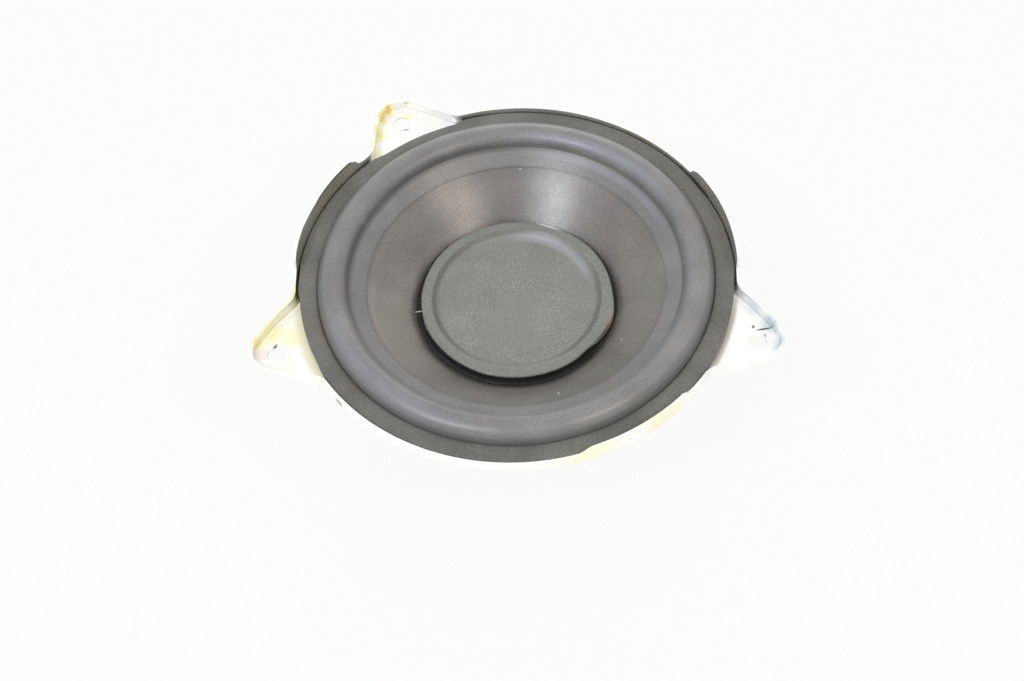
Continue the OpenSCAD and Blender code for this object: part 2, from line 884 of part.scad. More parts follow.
module board_rivet() {
    color(plate_zinc)
        rotate([0, 0, terminal_angle]) rivet(shelf_z - sheet_t, sheet_t + board_t);
}

module terminal_rivets() {
    color(plate_zinc)
        rotate([0, 0, terminal_angle])
            for (side = [-1, 1])
                translate([0, side * terminal_pitch / 2, 0]) rivet(shelf_z, board_t + blade_t);
}

// A blade with a solder tag bent up at its inner end
module terminal(w) {
    tip = 1.2;
    tip_x = board_x + board_l + blade_l;
    difference() {
        union() {
            translate([0, 0, board_z])
                linear_extrude(blade_t)
                    polygon([
                        [tag_x, -w / 2],
                        [tip_x - tip, -w / 2],
                        [tip_x, -w / 2 + tip],
                        [tip_x, w / 2 - tip],
                        [tip_x - tip, w / 2],
                        [tag_x, w / 2]
                    ]);
            translate([tag_x, -tag_w / 2, board_z]) cube([blade_t, tag_w, blade_t + tag_h]);
        }
        translate([rivet_x, 0, board_z - 1])
            cylinder(d = rivet_d + 2 * rivet_play, h = blade_t + 2, $fn = 48);
        translate([tip_x - 3, 0, board_z - 1]) cylinder(d = 1.6, h = blade_t + 2, $fn = 32);
    }
}

module positive_terminal() {
    color(brass_tin)
        rotate([0, 0, terminal_angle])
            translate([0, terminal_pitch / 2, 0]) terminal(positive_w);
}

module negative_terminal() {
    color(brass_tin)
        rotate([0, 0, terminal_angle])
            translate([0, -terminal_pitch / 2, 0]) terminal(negative_w);
}

module positive_lead() {
    color(copper) rotate([0, 0, terminal_angle]) tube_along(lead_route, lead_d);
}

module negative_lead() {
    color(copper)
        rotate([0, 0, terminal_angle]) mirror([0, 1, 0]) tube_along(lead_route, lead_d);
}

// A blob of solder and glue where each flexible lead meets its wire
module lead_joints() {
    color(brass_tin)
        for (side = [-1, 1])
            rotate([0, 0, terminal_angle + side * wire_spread])
                difference() {
                    translate([former_r, 0, joint_z])
                        rotate([0, 90, 0])
                            cylinder(d1 = joint_d, d2 = lead_d + 0.4, h = wire_t + joint_l, $fn = 48);
                    cylinder(r = former_r + wire_t, h = front_z);
                }
}

frame();
front_gasket();
surround();
cone();
dust_cap();
dust_cap_glue();
cone_neck_glue();
coil_former();
coil_winding();
coil_wires();
spider();
spider_glue();
top_plate();
magnet();
yoke();
frame_stakes();
terminal_board();
board_rivet();
positive_terminal();
negative_terminal();
terminal_rivets();
positive_lead();
negative_lead();
lead_joints();
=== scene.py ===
# Looks of the car speaker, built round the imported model. Metres, in the model's own frame; sizes in the
# dictionaries are millimetres.
import math

import bmesh
import bpy
from mathutils import Matrix, Vector, noise


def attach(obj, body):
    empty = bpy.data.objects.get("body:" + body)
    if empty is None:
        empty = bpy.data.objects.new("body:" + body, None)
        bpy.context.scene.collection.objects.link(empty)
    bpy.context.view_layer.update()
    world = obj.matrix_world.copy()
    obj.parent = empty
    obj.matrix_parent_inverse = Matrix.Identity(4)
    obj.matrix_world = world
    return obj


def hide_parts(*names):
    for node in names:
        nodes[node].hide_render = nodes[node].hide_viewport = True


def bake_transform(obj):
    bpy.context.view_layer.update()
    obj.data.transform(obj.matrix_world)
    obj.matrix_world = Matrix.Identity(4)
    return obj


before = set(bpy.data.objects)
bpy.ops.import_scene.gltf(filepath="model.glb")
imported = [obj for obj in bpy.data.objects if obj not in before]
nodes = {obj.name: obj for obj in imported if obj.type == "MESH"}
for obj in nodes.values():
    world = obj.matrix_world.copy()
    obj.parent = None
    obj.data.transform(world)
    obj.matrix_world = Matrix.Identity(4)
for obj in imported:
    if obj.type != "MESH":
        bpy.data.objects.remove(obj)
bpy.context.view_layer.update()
mm = 0.001
fullTurn = 2 * math.pi
print("frame loaded,", len(nodes), "nodes")

# Camera, floor and light

camera = {
    "place": (15.0, -281.5, 442.9),  # fitted to the rings of the photo
    "right": (0.99908, 0.0, -0.04292),
    "up": (0.0242, 0.82586, 0.5633),
    "lens": 50,
    "sensor": 36,
    "clip": (0.01, 20),  # metres
}
studio = {  # metres and watts
    "whiteFloor": "#fcfcfb",
    "floorShare": 0.93,  # how far the floor is a plain white that takes no shade
    "floorSize": 4,
    "ambient": 0.72,
    "white": 1.0,
    "brightWay": (0, 0.8, 0.6),  # what shines on the surfaces is white above and behind, dimmer in front
    "dimShine": 0.5,
    "shineSpan": (0.2, 0.6),
    "lampDistance": 1.4,
    "lampAim": (0, 0, 0.07),
    "lamps": [  # cool on the left, warm on the right, as the cone's highlights show, and a low one behind
        {"way": (-0.4, -0.46, 0.79), "size": 0.26, "power": 6.0, "colour": "#f2f3fc"},
        {"way": (0.48, -0.4, 0.785), "size": 0.3, "power": 3.4, "colour": "#fff2e2"},
        {"way": (0.04, 0.93, 0.33), "size": 0.8, "power": 2.0, "colour": "#ffffff"},
    ],
}


def linearColour(text):  # sRGB hex to the linear colour that a node takes
    parts = [int(text[i : i + 2], 16) / 255 for i in (1, 3, 5)]
    return [c / 12.92 if c <= 0.04045 else ((c + 0.055) / 1.055) ** 2.4 for c in parts] + [1]


def emptyTree(block):  # the cleared node tree of a world or a material
    block.use_nodes = True
    block.node_tree.nodes.clear()
    return block.node_tree


def addNode(tree, kind, inputs=(), out=0, **settings):  # inputs by name, or in order; gives its output
    node = tree.nodes.new("ShaderNode" + kind)
    for key, value in settings.items():
        setattr(node, key, value)
    inputs = inputs if isinstance(inputs, dict) else dict(enumerate(inputs))
    for key, value in inputs.items():
        if isinstance(value, bpy.types.NodeSocket):
            tree.links.new(value, node.inputs[key])
        else:
            node.inputs[key].default_value = value
    return node.outputs[out] if node.outputs else None


def meshData(name, mesh):  # turns a bmesh into mesh data
    data = bpy.data.meshes.new(name)
    mesh.to_mesh(data)
    mesh.free()
    return data


def addObject(name, data):
    obj = bpy.data.objects.new(name, data)
    bpy.context.scene.collection.objects.link(obj)
    return obj


def makeCamera():
    data = bpy.data.cameras.new("photoCamera")
    data.lens = camera["lens"]
    data.sensor_width = camera["sensor"]
    data.clip_start, data.clip_end = camera["clip"]
    obj = addObject("photoCamera", data)
    right, up = Vector(camera["right"]), Vector(camera["up"])
    turned = Matrix((right, up, right.cross(up))).transposed()
    obj.matrix_world = Matrix.Translation(Vector(camera["place"]) * mm) @ turned.to_4x4()
    bpy.context.scene.camera = obj


def makeSky():  # plain white to the camera and through glass, softer for what it lights
    world = bpy.data.worlds.new("studio")
    bpy.context.scene.world = world
    tree = emptyTree(world)
    path = addNode(tree, "LightPath").node.outputs
    way = (addNode(tree, "TexCoord", out="Generated"), studio["brightWay"])
    lean = addNode(tree, "VectorMath", way, "Value", operation="DOT_PRODUCT")
    shine = (lean, *studio["shineSpan"], studio["dimShine"], studio["white"])
    shine = addNode(tree, "MapRange", shine, interpolation_type="SMOOTHSTEP")
    light = {0: path["Is Glossy Ray"], 2: studio["ambient"], 3: shine}
    light = addNode(tree, "Mix", light, data_type="FLOAT")
    seen = (path["Is Camera Ray"], path["Is Transmission Ray"])
    seen = addNode(tree, "Math", seen, operation="MAXIMUM")
    light = addNode(tree, "Mix", {0: seen, 2: light, 3: studio["white"]}, data_type="FLOAT")
    sky = addNode(tree, "Background", {"Color": (1, 1, 1, 1), "Strength": light})
    addNode(tree, "OutputWorld", {"Surface": sky})


def makeLamps():
    for i, lamp in enumerate(studio["lamps"], 1):
        data = bpy.data.lights.new("softLamp%d" % i, "AREA")
        data.shape = "DISK"
        data.size = lamp["size"]
        data.energy = lamp["power"]
        data.color = linearColour(lamp["colour"])[:3]
        obj = addObject(data.name, data)
        way = Vector(lamp["way"]).normalized()
        obj.location = way * studio["lampDistance"] + Vector(studio["lampAim"])
        obj.rotation_euler = way.to_track_quat("Z", "Y").to_euler()


def makeFloor():  # paper that stays white in view and in reflections, and takes the object's shadow
    material = bpy.data.materials.new("whiteStudioPaper")
    tree = emptyTree(material)
    path = addNode(tree, "LightPath").node.outputs
    colour = linearColour(studio["whiteFloor"])
    paper = addNode(tree, "BsdfDiffuse", {"Color": colour})
    glow = addNode(tree, "Emission", {"Color": colour, "Strength": studio["white"]})
    seen = addNode(tree, "Math", (path["Is Camera Ray"], path["Is Glossy Ray"]), operation="MAXIMUM")
    share = addNode(tree, "Math", (seen, studio["floorShare"]), operation="MULTIPLY")
    addNode(tree, "OutputMaterial", {"Surface": addNode(tree, "MixShader", (share, paper, glow))})
    mesh = bmesh.new()
    bmesh.ops.create_grid(mesh, x_segments=4, y_segments=4, size=studio["floorSize"])
    data = meshData("studioFloor", mesh)
    data.materials.append(material)
    obj = addObject("studioFloor", data)


bpy.context.scene.view_settings.view_transform = "Standard"
makeCamera()
makeSky()
makeLamps()
makeFloor()
print("camera and light made")

# Finishes

# Each finish has three colours from dark to light, its gloss, and a grain: its size, that of broad patches,
# their share, and how deep it stands. Rings are radius, half width, tint and strength, round ringCentre, and
# for a part of a ring also the angle of its middle and its reach. Marks are x, y, z, half length, width and
# height, turn in degrees, tint and strength. Flecks are spacing, share and tint.
finishes = {
    "yellowZincSteel": {  # pressed steel, zinc plated and yellow passivated: pale, mirror-like, tinted
        "colours": ("#fbf9f1", "#ffffff", "#ffffff"),
        "roughness": (0.14, 0.3),
        "grain": (1.4, 22, 0.75, 0.008),
        "tone": (  # what the passivation adds, from cool through plain to gold
            (0.0, "#b9d3d4"), (0.5, "#ffffff"), (0.66, "#fbf7cd"), (0.84, "#f0dc8c"), (1.0, "#e59a55"),
        ),
        "marks": [
            # painted shade at the far edge of the left ear's screw hole
            (-77.5, -24.9, 67, 1.5, 0.5, 5, 52, "#3c3a38", 0.8),
            (-55.0, -48.3, 69.6, 2.6, 0.7, 1.6, -49, "#3c3a38", 0.8),
            (-81.5, -28.0, 67, 3.6, 3.2, 4, 0, "#f9e8e0", 0.8),
            # painted shade at the near edge of the far left ear's screw hole
            (-39.4, 67.5, 67, 1.9, 0.4, 5, 6, "#4a4740", 0.8),
            (-38.8, 78.0, 70, 1.8, 0.6, 2, 10, "#c4b878", 0.6),
            (79.3, -22.7, 67, 3.4, 0.45, 5, 9, "#2c2f30", 0.9),
            (76.0, -21.7, 67, 0.9, 0.6, 5, 80, "#2c2f30", 0.8),
            (82.8, -22.1, 67, 0.9, 0.7, 5, 30, "#2c2f30", 0.9),
            (79.4, -25.2, 67, 1.1, 0.3, 5, -70, "#55585a", 0.7),
        ],
        # painted shade on the ears' floors along the gasket's edge
        "rings": [(71.8, 1.7, "#b4b09f", 0.8, 338, 18), (72.0, 2.7, "#e8e4b8", 0.75, 201, 16)],
        "wobble": 0.3,
    },
    "fibreGasket": {  # die-cut grey fibre board: dull, faintly fuzzy
        "colours": ("#575652", "#696863", "#7b7a75"),
        "roughness": (0.6, 0.8),
        "grain": (0.45, 16, 0.4, 0.05),
        "sockets": {"Sheen Weight": 0.3},
        # painted shade in the gap at the gasket's inner edge, beside the roll
        "rings": [(65.2, 0.9, "#3a3938", 0.38)],
        "wobble": 0.4,
    },
    "satinFoam": {  # moulded foam roll with a skin: satin highlights from its gloss and painted bluish highlights along the roll, painted shade in its fold and at its edges
        "colours": ("#656464", "#777675", "#8a8988"),
        "roughness": (0.33, 0.44),
        "grain": (0.42, 13, 0.35, 0.035),
        "sockets": {"Specular IOR Level": 0.9, "Sheen Weight": 0.15},
        "rings": [
            # painted shade in the fold between the roll and its land, where it faces away from the light
            (54.7, 1.4, "#262524", 0.6, 135, 85),
            (54.9, 0.8, "#262524", 0.35, 20, 60),
            # painted shade on the roll's outer slope at the sides and where it meets the gasket
            (64.2, 1.6, "#2a2928", 0.3, 180, 44),
            (64.2, 1.6, "#2a2928", 0.3, 350, 44),
            (65.2, 1.2, "#242322", 0.28),
            (49.35, 0.4, "#3d3b3a", 0.4),
            # painted bluish highlights on the roll's inner slope, its land and its crest
            (57.2, 2.2, "#9a9eb4", 0.35, 60, 38),
            (53.0, 1.5, "#9c9fb0", 0.3, 52, 42),
            (61.8, 3.0, "#8f91a6", 0.28, 228, 34),
            # painted shade that tones down the crest's near side
            (58.0, 1.8, "#555453", 0.3, 280, 62),
        ],
        "wobble": 0.5,
        "flecks": (4.0, 0.035, "#bdbdbb"),
    },
    "coatedPulp": {  # pressed paper pulp with a thin coat: fine felt marks under a soft sheen
        "colours": ("#5a5754", "#6e6b67", "#83807a"),
        "roughness": (0.3, 0.4),
        "grain": (0.5, 12, 0.3, 0.03),
        "sockets": {"Specular IOR Level": 1.0, "Coat Weight": 0.4, "Coat Roughness": 0.42},
        "rings": [
            # glue spread round the cap's foot, and painted shadow under the cap's edge
            (31.5, 5.0, "#17110d", 0.8),
            # painted highlights, soft lobes of lamp light on the left and right
            (41, 9, "#a8a294", 0.3, 203, 32),
            (41, 9, "#a5a29c", 0.12, 342, 24),
            (48.2, 2.6, "#504e4b", 0.22, 97, 38),
            # painted highlight, the same lobe on the left near the cone's edge
            (48.2, 3.4, "#a8a294", 0.3, 202, 30),
        ],
        # moves the rings' middle towards the near left, so that the dark ring under the cap, part glue and
        # part painted shadow, is wider there
        "ringCentre": (-0.6, -0.3),
        "wobble": 1.0,
        "flecks": (3.1, 0.045, "#c9c7c3"),
    },
    "pressedFelt": {  # stiffened felt: matt, salt-and-pepper fibres
        "colours": ("#595a56", "#777873", "#999a94"),
        "roughness": (0.36, 0.48),
        "grain": (0.42, 10, 0.15, 0.06),
        "sockets": {"Specular IOR Level": 1.0, "Sheen Weight": 0.15},
        "rings": [
            # painted shade in the step's groove, where it faces away from the light
            (27.9, 1.3, "#3a3b38", 0.62, 160, 105),
            (27.9, 1.2, "#3a3b38", 0.5, 345, 60),
            (30.4, 2.6, "#6e6f69", 0.3),
            # painted bluish highlight inside the step
            (26.0, 2.3, "#a9adb8", 0.45, 58, 50),
        ],
        "wobble": 0.4,
        "marks": [
            (29.2, -15.0, 57, 4.6, 0.8, 9, 62, "#7d7058", 0.7),
            (31.3, -9.7, 57, 5.2, 0.65, 9, 73, "#a3906c", 0.75),
            # painted highlight along the cap's far edge
            (11.6, 29.4, 57, 6.5, 0.8, 9, -21, "#d4d5d1", 0.8),
        ],
        "flecks": (2.6, 0.06, "#b4b5ae"),
    },
    "cottonLint": {  # white fibres and dust
        "colours": ("#d8d8d4", "#e4e4e0", "#f0f0ec"),
        "roughness": (0.8, 0.95),
        "grain": (0.5, 5, 0.2, 0.01),
    },
    "contactGlue": {  # dried contact glue: near black, matt with a few soft glints
        "colours": ("#0c0a09", "#141110", "#1e1a18"),
        "roughness": (0.55, 0.8),
        "grain": (1.1, 9, 0.4, 0.12),
    },
    "resinCloth": {  # cotton weave stiffened with resin: amber, threads catch the light
        "colours": ("#7b5523", "#a97b37", "#cc9f5b"),
        "roughness": (0.45, 0.65),
        "grain": (0.6, 15, 0.35, 0.05),
        "weave": 0.8,
    },
    "kraftTube": {  # rolled kraft paper, lacquered
        "colours": ("#7c5222", "#93642e", "#a9783f"),
        "roughness": (0.35, 0.5),
        "grain": (0.8, 8, 0.3, 0.01),
    },
    "enamelledCopper": {  # wound copper wire under clear enamel
        "colours": ("#8a3f1c", "#b5622f", "#d68a55"),
        "metallic": 1.0,
        "roughness": (0.2, 0.32),
        "grain": (0.7, 6, 0.3, 0.01),
    },
    "tinselBraid": {  # twisted copper tinsel: dull red gold
        "colours": ("#8a4f2e", "#b87a47", "#e0ac7c"),
        "metallic": 1.0,
        "roughness": (0.35, 0.5),
        "grain": (0.35, 5, 0.2, 0.05),
    },
    "turnedZincSteel": {  # turned steel plate, bright zinc plated: fine rings from the lathe
        "colours": ("#a9a69a", "#c6c4ba", "#dfddd6"),
        "metallic": 1.0,
        "roughness": (0.26, 0.4),
        "grain": (0.9, 18, 0.5, 0.012),
        "turned": 0.5,
    },
    "sinteredFerrite": {  # ground hard ferrite: charcoal with a faint gloss and pores
        "colours": ("#222223", "#303032", "#434345"),
        "roughness": (0.42, 0.62),
        "grain": (0.8, 14, 0.35, 0.05),
        "flecks": (2.2, 0.08, "#5c5c5e"),
    },
    "phenolicBoard": {  # paper laminate in phenolic resin: brown, satin
        "colours": ("#5b371a", "#744826", "#8a5a33"),
        "roughness": (0.4, 0.55),
        "grain": (0.7, 9, 0.3, 0.01),
    },
    "tinnedBrass": {  # stamped brass, hot tinned: soft silver
        "colours": ("#aeaba1", "#cbc9c0", "#e2e0d9"),
        "metallic": 1.0,
        "roughness": (0.24, 0.38),
        "grain": (0.8, 5, 0.4, 0.012),
    },
}

noiseSpan = (0.3, 0.7)  # where nearly all of a noise lies
colourStops = (0.34, 0.5, 0.66)  # where in the noise the three colours stand
threadTint = 0.35
fleckStrength = 0.8
toneDrift = 0.05
cores = {"ring": 0.25, "arc": 0.3, "fleck": 0.6, "mark": 0.5}  # the part of a reach that has full strength


def perMm(size):  # scale of a pattern whose cells are that many millimetres
    return 1 / (size * mm)


def setStops(ramp, stops):  # place and colour of each stop on a ramp
    while len(ramp.elements) < len(stops):
        ramp.elements.new(0.5)
    for stop, (spot, hue) in zip(ramp.elements, stops):
        stop.position = spot
        stop.color = linearColour(hue)


def makeThreads(tree, finish, place):  # crossed threads, or the rings that a lathe leaves
    size = finish.get("weave") or finish["turned"]
    look = {"Vector": place, "Scale": perMm(size) * math.pi / 10, "Distortion": 0.4, "Detail": 0.0}
    if "turned" in finish:
        return addNode(tree, "TexWave", look, "Fac", wave_type="RINGS", rings_direction="Z")
    crossed = [addNode(tree, "TexWave", look, "Fac", bands_direction=way) for way in "XY"]
    return addNode(tree, "Math", crossed, operation="MULTIPLY")


# A layer is a distance, the reach and the core within which it tints, its strength, its tint and, for a part
# of a ring, a share that ends it.
def ringLayers(tree, finish, place, both):
    x, y = finish.get("ringCentre", (0, 0))
    flat = addNode(tree, "VectorMath", (place, (1, 1, 0)), operation="MULTIPLY")
    radius = addNode(tree, "VectorMath", (flat, (x * mm, y * mm, 0)), "Value", operation="DISTANCE")
    wobble = finish["wobble"] * mm
    sway = addNode(tree, "MapRange", (both, *noiseSpan, -wobble, wobble))
    radius = addNode(tree, "Math", (radius, sway), operation="ADD")
    aim = addNode(tree, "VectorMath", (flat,), operation="NORMALIZE")
    for middle, halfWidth, tint, strength, *arc in finish["rings"]:
        off = addNode(tree, "Math", (radius, middle * mm), operation="SUBTRACT")
        off = addNode(tree, "Math", (off,), operation="ABSOLUTE")
        ends = None
        if arc:
            at, reach = (math.radians(v) for v in arc)
            toward = (aim, (math.cos(at), math.sin(at), 0))
            toward = addNode(tree, "VectorMath", toward, "Value", operation="DOT_PRODUCT")
            ends = (toward, math.cos(reach), math.cos(reach * cores["arc"]))
            ends = addNode(tree, "MapRange", ends, interpolation_type="SMOOTHSTEP")
        yield off, halfWidth * mm, cores["ring"], strength, tint, ends


def fleckLayers(tree, finish, place):
    size, share, tint = finish["flecks"]
    spot = addNode(tree, "TexVoronoi", {"Vector": place, "Scale": perMm(size)}, "Distance")
    yield spot, share, cores["fleck"], fleckStrength, tint, None


def markLayers(tree, finish, place):
    for x, y, z, halfLength, halfWidth, halfHeight, turned, tint, strength in finish["marks"]:
        spot = {
            "Vector": place,
            "Location": (x * mm, y * mm, z * mm),
            "Rotation": (0, 0, math.radians(turned)),
            "Scale": (halfLength * mm, halfWidth * mm, halfHeight * mm),
        }
        spot = addNode(tree, "Mapping", spot, vector_type="TEXTURE")
        off = addNode(tree, "VectorMath", (spot,), "Value", operation="LENGTH")
        yield off, 1.0, cores["mark"], strength, tint, None


def makeFinish(name):
    finish = finishes[name]
    material = bpy.data.materials.new(name)
    tree = emptyTree(material)
    place = addNode(tree, "TexCoord", out="Object")
    grainSize, patchSize, patchShare, depth = finish["grain"]
    look = {"Vector": place, "Scale": perMm(grainSize), "Detail": 3.0, "Roughness": 0.6}
    grain = addNode(tree, "TexNoise", look)
    look = {"Vector": place, "Scale": perMm(patchSize), "Detail": 2.0, "Roughness": 0.5}
    patch = addNode(tree, "TexNoise", look)
    both = addNode(tree, "Mix", {0: patchShare, 2: grain, 3: patch}, data_type="FLOAT")
    colour = addNode(tree, "ValToRGB", {"Fac": both})
    setStops(colour.node.color_ramp, list(zip(colourStops, finish["colours"])))
    height, metallic = grain, finish.get("metallic", 0.0)

    if "tone" in finish:  # the tone and how far it is a mirror are kept on the piece as attributes
        tone = addNode(tree, "Attribute", out="Fac", attribute_name="tone")
        drift = addNode(tree, "MapRange", (patch, *noiseSpan, -toneDrift, toneDrift))
        tone = addNode(tree, "Math", (tone, drift), operation="ADD")
        shade = addNode(tree, "ValToRGB", {"Fac": tone})
        setStops(shade.node.color_ramp, finish["tone"])
        tinted = {0: 1.0, 6: colour, 7: shade}
        colour = addNode(tree, "Mix", tinted, 2, data_type="RGBA", blend_type="MULTIPLY")
        metallic = addNode(tree, "Attribute", out="Fac", attribute_name="mirror")
    if "weave" in finish or "turned" in finish:
        threads = makeThreads(tree, finish, place)
        height = addNode(tree, "Math", (height, threads), operation="ADD")
        share = addNode(tree, "Math", (threads, threadTint), operation="MULTIPLY")
        tinted = {0: share, 6: colour, 7: linearColour(finish["colours"][2])}
        colour = addNode(tree, "Mix", tinted, 2, data_type="RGBA")

    layers = list(ringLayers(tree, finish, place, both)) if "rings" in finish else []
    layers += fleckLayers(tree, finish, place) if "flecks" in finish else []
    layers += markLayers(tree, finish, place) if "marks" in finish else []
    for distance, reach, core, strength, tint, ends in layers:
        fade = (distance, reach * core, reach, strength, 0.0)
        share = addNode(tree, "MapRange", fade, interpolation_type="SMOOTHSTEP")
        if ends:
            share = addNode(tree, "Math", (share, ends), operation="MULTIPLY")
        colour = addNode(tree, "Mix", {0: share, 6: colour, 7: linearColour(tint)}, 2, data_type="RGBA")

    shiny, dull = finish["roughness"]
    gloss = addNode(tree, "MapRange", (both, *noiseSpan, dull, shiny))
    stand = addNode(tree, "Bump", {"Height": height, "Strength": 1.0, "Distance": depth * mm})
    surface = {"Base Color": colour, "Roughness": gloss, "Normal": stand, "Metallic": metallic}
    surface.update(finish.get("sockets", {}))
    addNode(tree, "OutputMaterial", {"Surface": addNode(tree, "BsdfPrincipled", surface)})
    finish["material"] = material


for finishName in finishes:
    makeFinish(finishName)
print("finishes made:", len(finishes))

# Making pieces

roundSteps = 240  # how many faces a large ring has
degree = math.radians(1)


def smoothStep(value, start, end):  # 0 at the start, 1 at the end
    share = min(max((value - start) / (end - start), 0), 1)
    return share * share * (3 - 2 * share)


def apart(angle, other):  # from one direction to another, -180 to 180 degrees
    return (angle - other + 180) % 360 - 180


def polar(radius, angle, height):
    return Vector((radius * math.cos(angle * degree), radius * math.sin(angle * degree), height))


def polarOf(co):  # radius in mm and direction in degrees of a vertex
    return math.hypot(co.x, co.y) / mm, math.degrees(math.atan2(co.y, co.x))


def aboutAxis(angle):
    return Matrix.Rotation(angle * degree, 3, "Z")


def spread(start, end, count):  # even steps from the start, which is left out, to the end
    return [start + (end - start) * k / count for k in range(1, count + 1)]


def arc(centre, radius, start, end, steps):  # angles in radians
    angles = [start] + spread(start, end, steps)
    return [centre + radius * Vector((math.cos(a), math.sin(a))) for a in angles]


def roundCorners(points, radius, segments):  # an open path with an arc at each inner corner
    path = [Vector(points[0])]
    for before, here, after in zip(points, points[1:], points[2:]):
        before, here, after = Vector(before), Vector(here), Vector(after)
        toBefore, toAfter = (before - here).normalized(), (after - here).normalized()
        half = toBefore.angle(toAfter) / 2
        centre = here + (toBefore + toAfter).normalized() * radius / math.sin(half)
        first = here + toBefore * radius / math.tan(half) - centre
        last = here + toAfter * radius / math.tan(half) - centre
        sweep = first.angle_signed(last)
        for k in range(segments + 1):
            turned = first.copy()
            turned.rotate(Matrix.Rotation(-sweep * k / segments, 2))
            path.append(centre + turned)
    path.append(Vector(points[-1]))
    return path


def thicken(path, thickness):  # the closed outline of a sheet that follows a path
    sides = [[], []]
    for i, here in enumerate(path):
        before = (here - path[i - 1]).normalized() if i else (path[1] - here).normalized()
        after = (path[i + 1] - here).normalized() if i + 1 < len(path) else before
        across = Vector((-before.y - after.y, before.x + after.x)).normalized()
        reach = thickness / 2 / across.dot(Vector((-before.y, before.x)))
        sides[0].append(here + across * reach)
        sides[1].append(here - across * reach)
    return sides[0] + sides[1][::-1]


def spinLine(mesh, points, steps, closed):  # a line of points, spun once round the axis
    line = [mesh.verts.new(p) for p in points]
    nextOnes = line[1:] + (line[:1] if closed else [])
    edges = [mesh.edges.new(pair) for pair in zip(line, nextOnes)]
    around = {"cent": (0, 0, 0), "axis": (0, 0, 1), "angle": fullTurn}
    bmesh.ops.spin(mesh, geom=line + edges, steps=steps, use_merge=True, **around)


def turn(profile, steps=roundSteps):  # spins a closed profile of (radius, height)
    mesh = bmesh.new()
    spinLine(mesh, [(p[0] * mm, 0, p[1] * mm) for p in profile], steps, True)
    bmesh.ops.remove_doubles(mesh, verts=mesh.verts, dist=0.00001)
    bmesh.ops.recalc_face_normals(mesh, faces=mesh.faces)
    return mesh


def unevenness(mesh, amount, size):  # gentle dents, as a formed part has
    mesh.normal_update()
    for vert in mesh.verts:
        vert.co += vert.normal * (noise.noise(vert.co / (size * mm)) * amount * mm)


def shadeSmooth(data, crease=40):
    data.shade_smooth()
    data.set_sharp_from_angle(angle=crease * degree)


def evaluatedMesh(obj):  # what an object's modifiers or its curve give
    graph = bpy.context.evaluated_depsgraph_get()
    return bpy.data.meshes.new_from_object(obj.evaluated_get(graph))


def takeIn(mesh, data):  # adds mesh data to a bmesh
    mesh.from_mesh(data)
    bpy.data.meshes.remove(data)


def addPiece(name, mesh, finishName, replaced=(), body="frame", crease=40):
    data = meshData(name, mesh)
    data.materials.append(finishes[finishName]["material"])
    shadeSmooth(data, crease)
    obj = addObject(name, data)
    if replaced:
        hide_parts(*replaced)
    if body:
        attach(obj, body)
    return obj


def followByRadius(obj, fixedRadius, movingRadius):  # bakes the piece's place into its mesh and works out weights from edge to middle, which are not kept
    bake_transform(obj)
    weights = [smoothStep(polarOf(vert.co)[0], fixedRadius, movingRadius) for vert in obj.data.vertices]


# Basket: the pressed frame

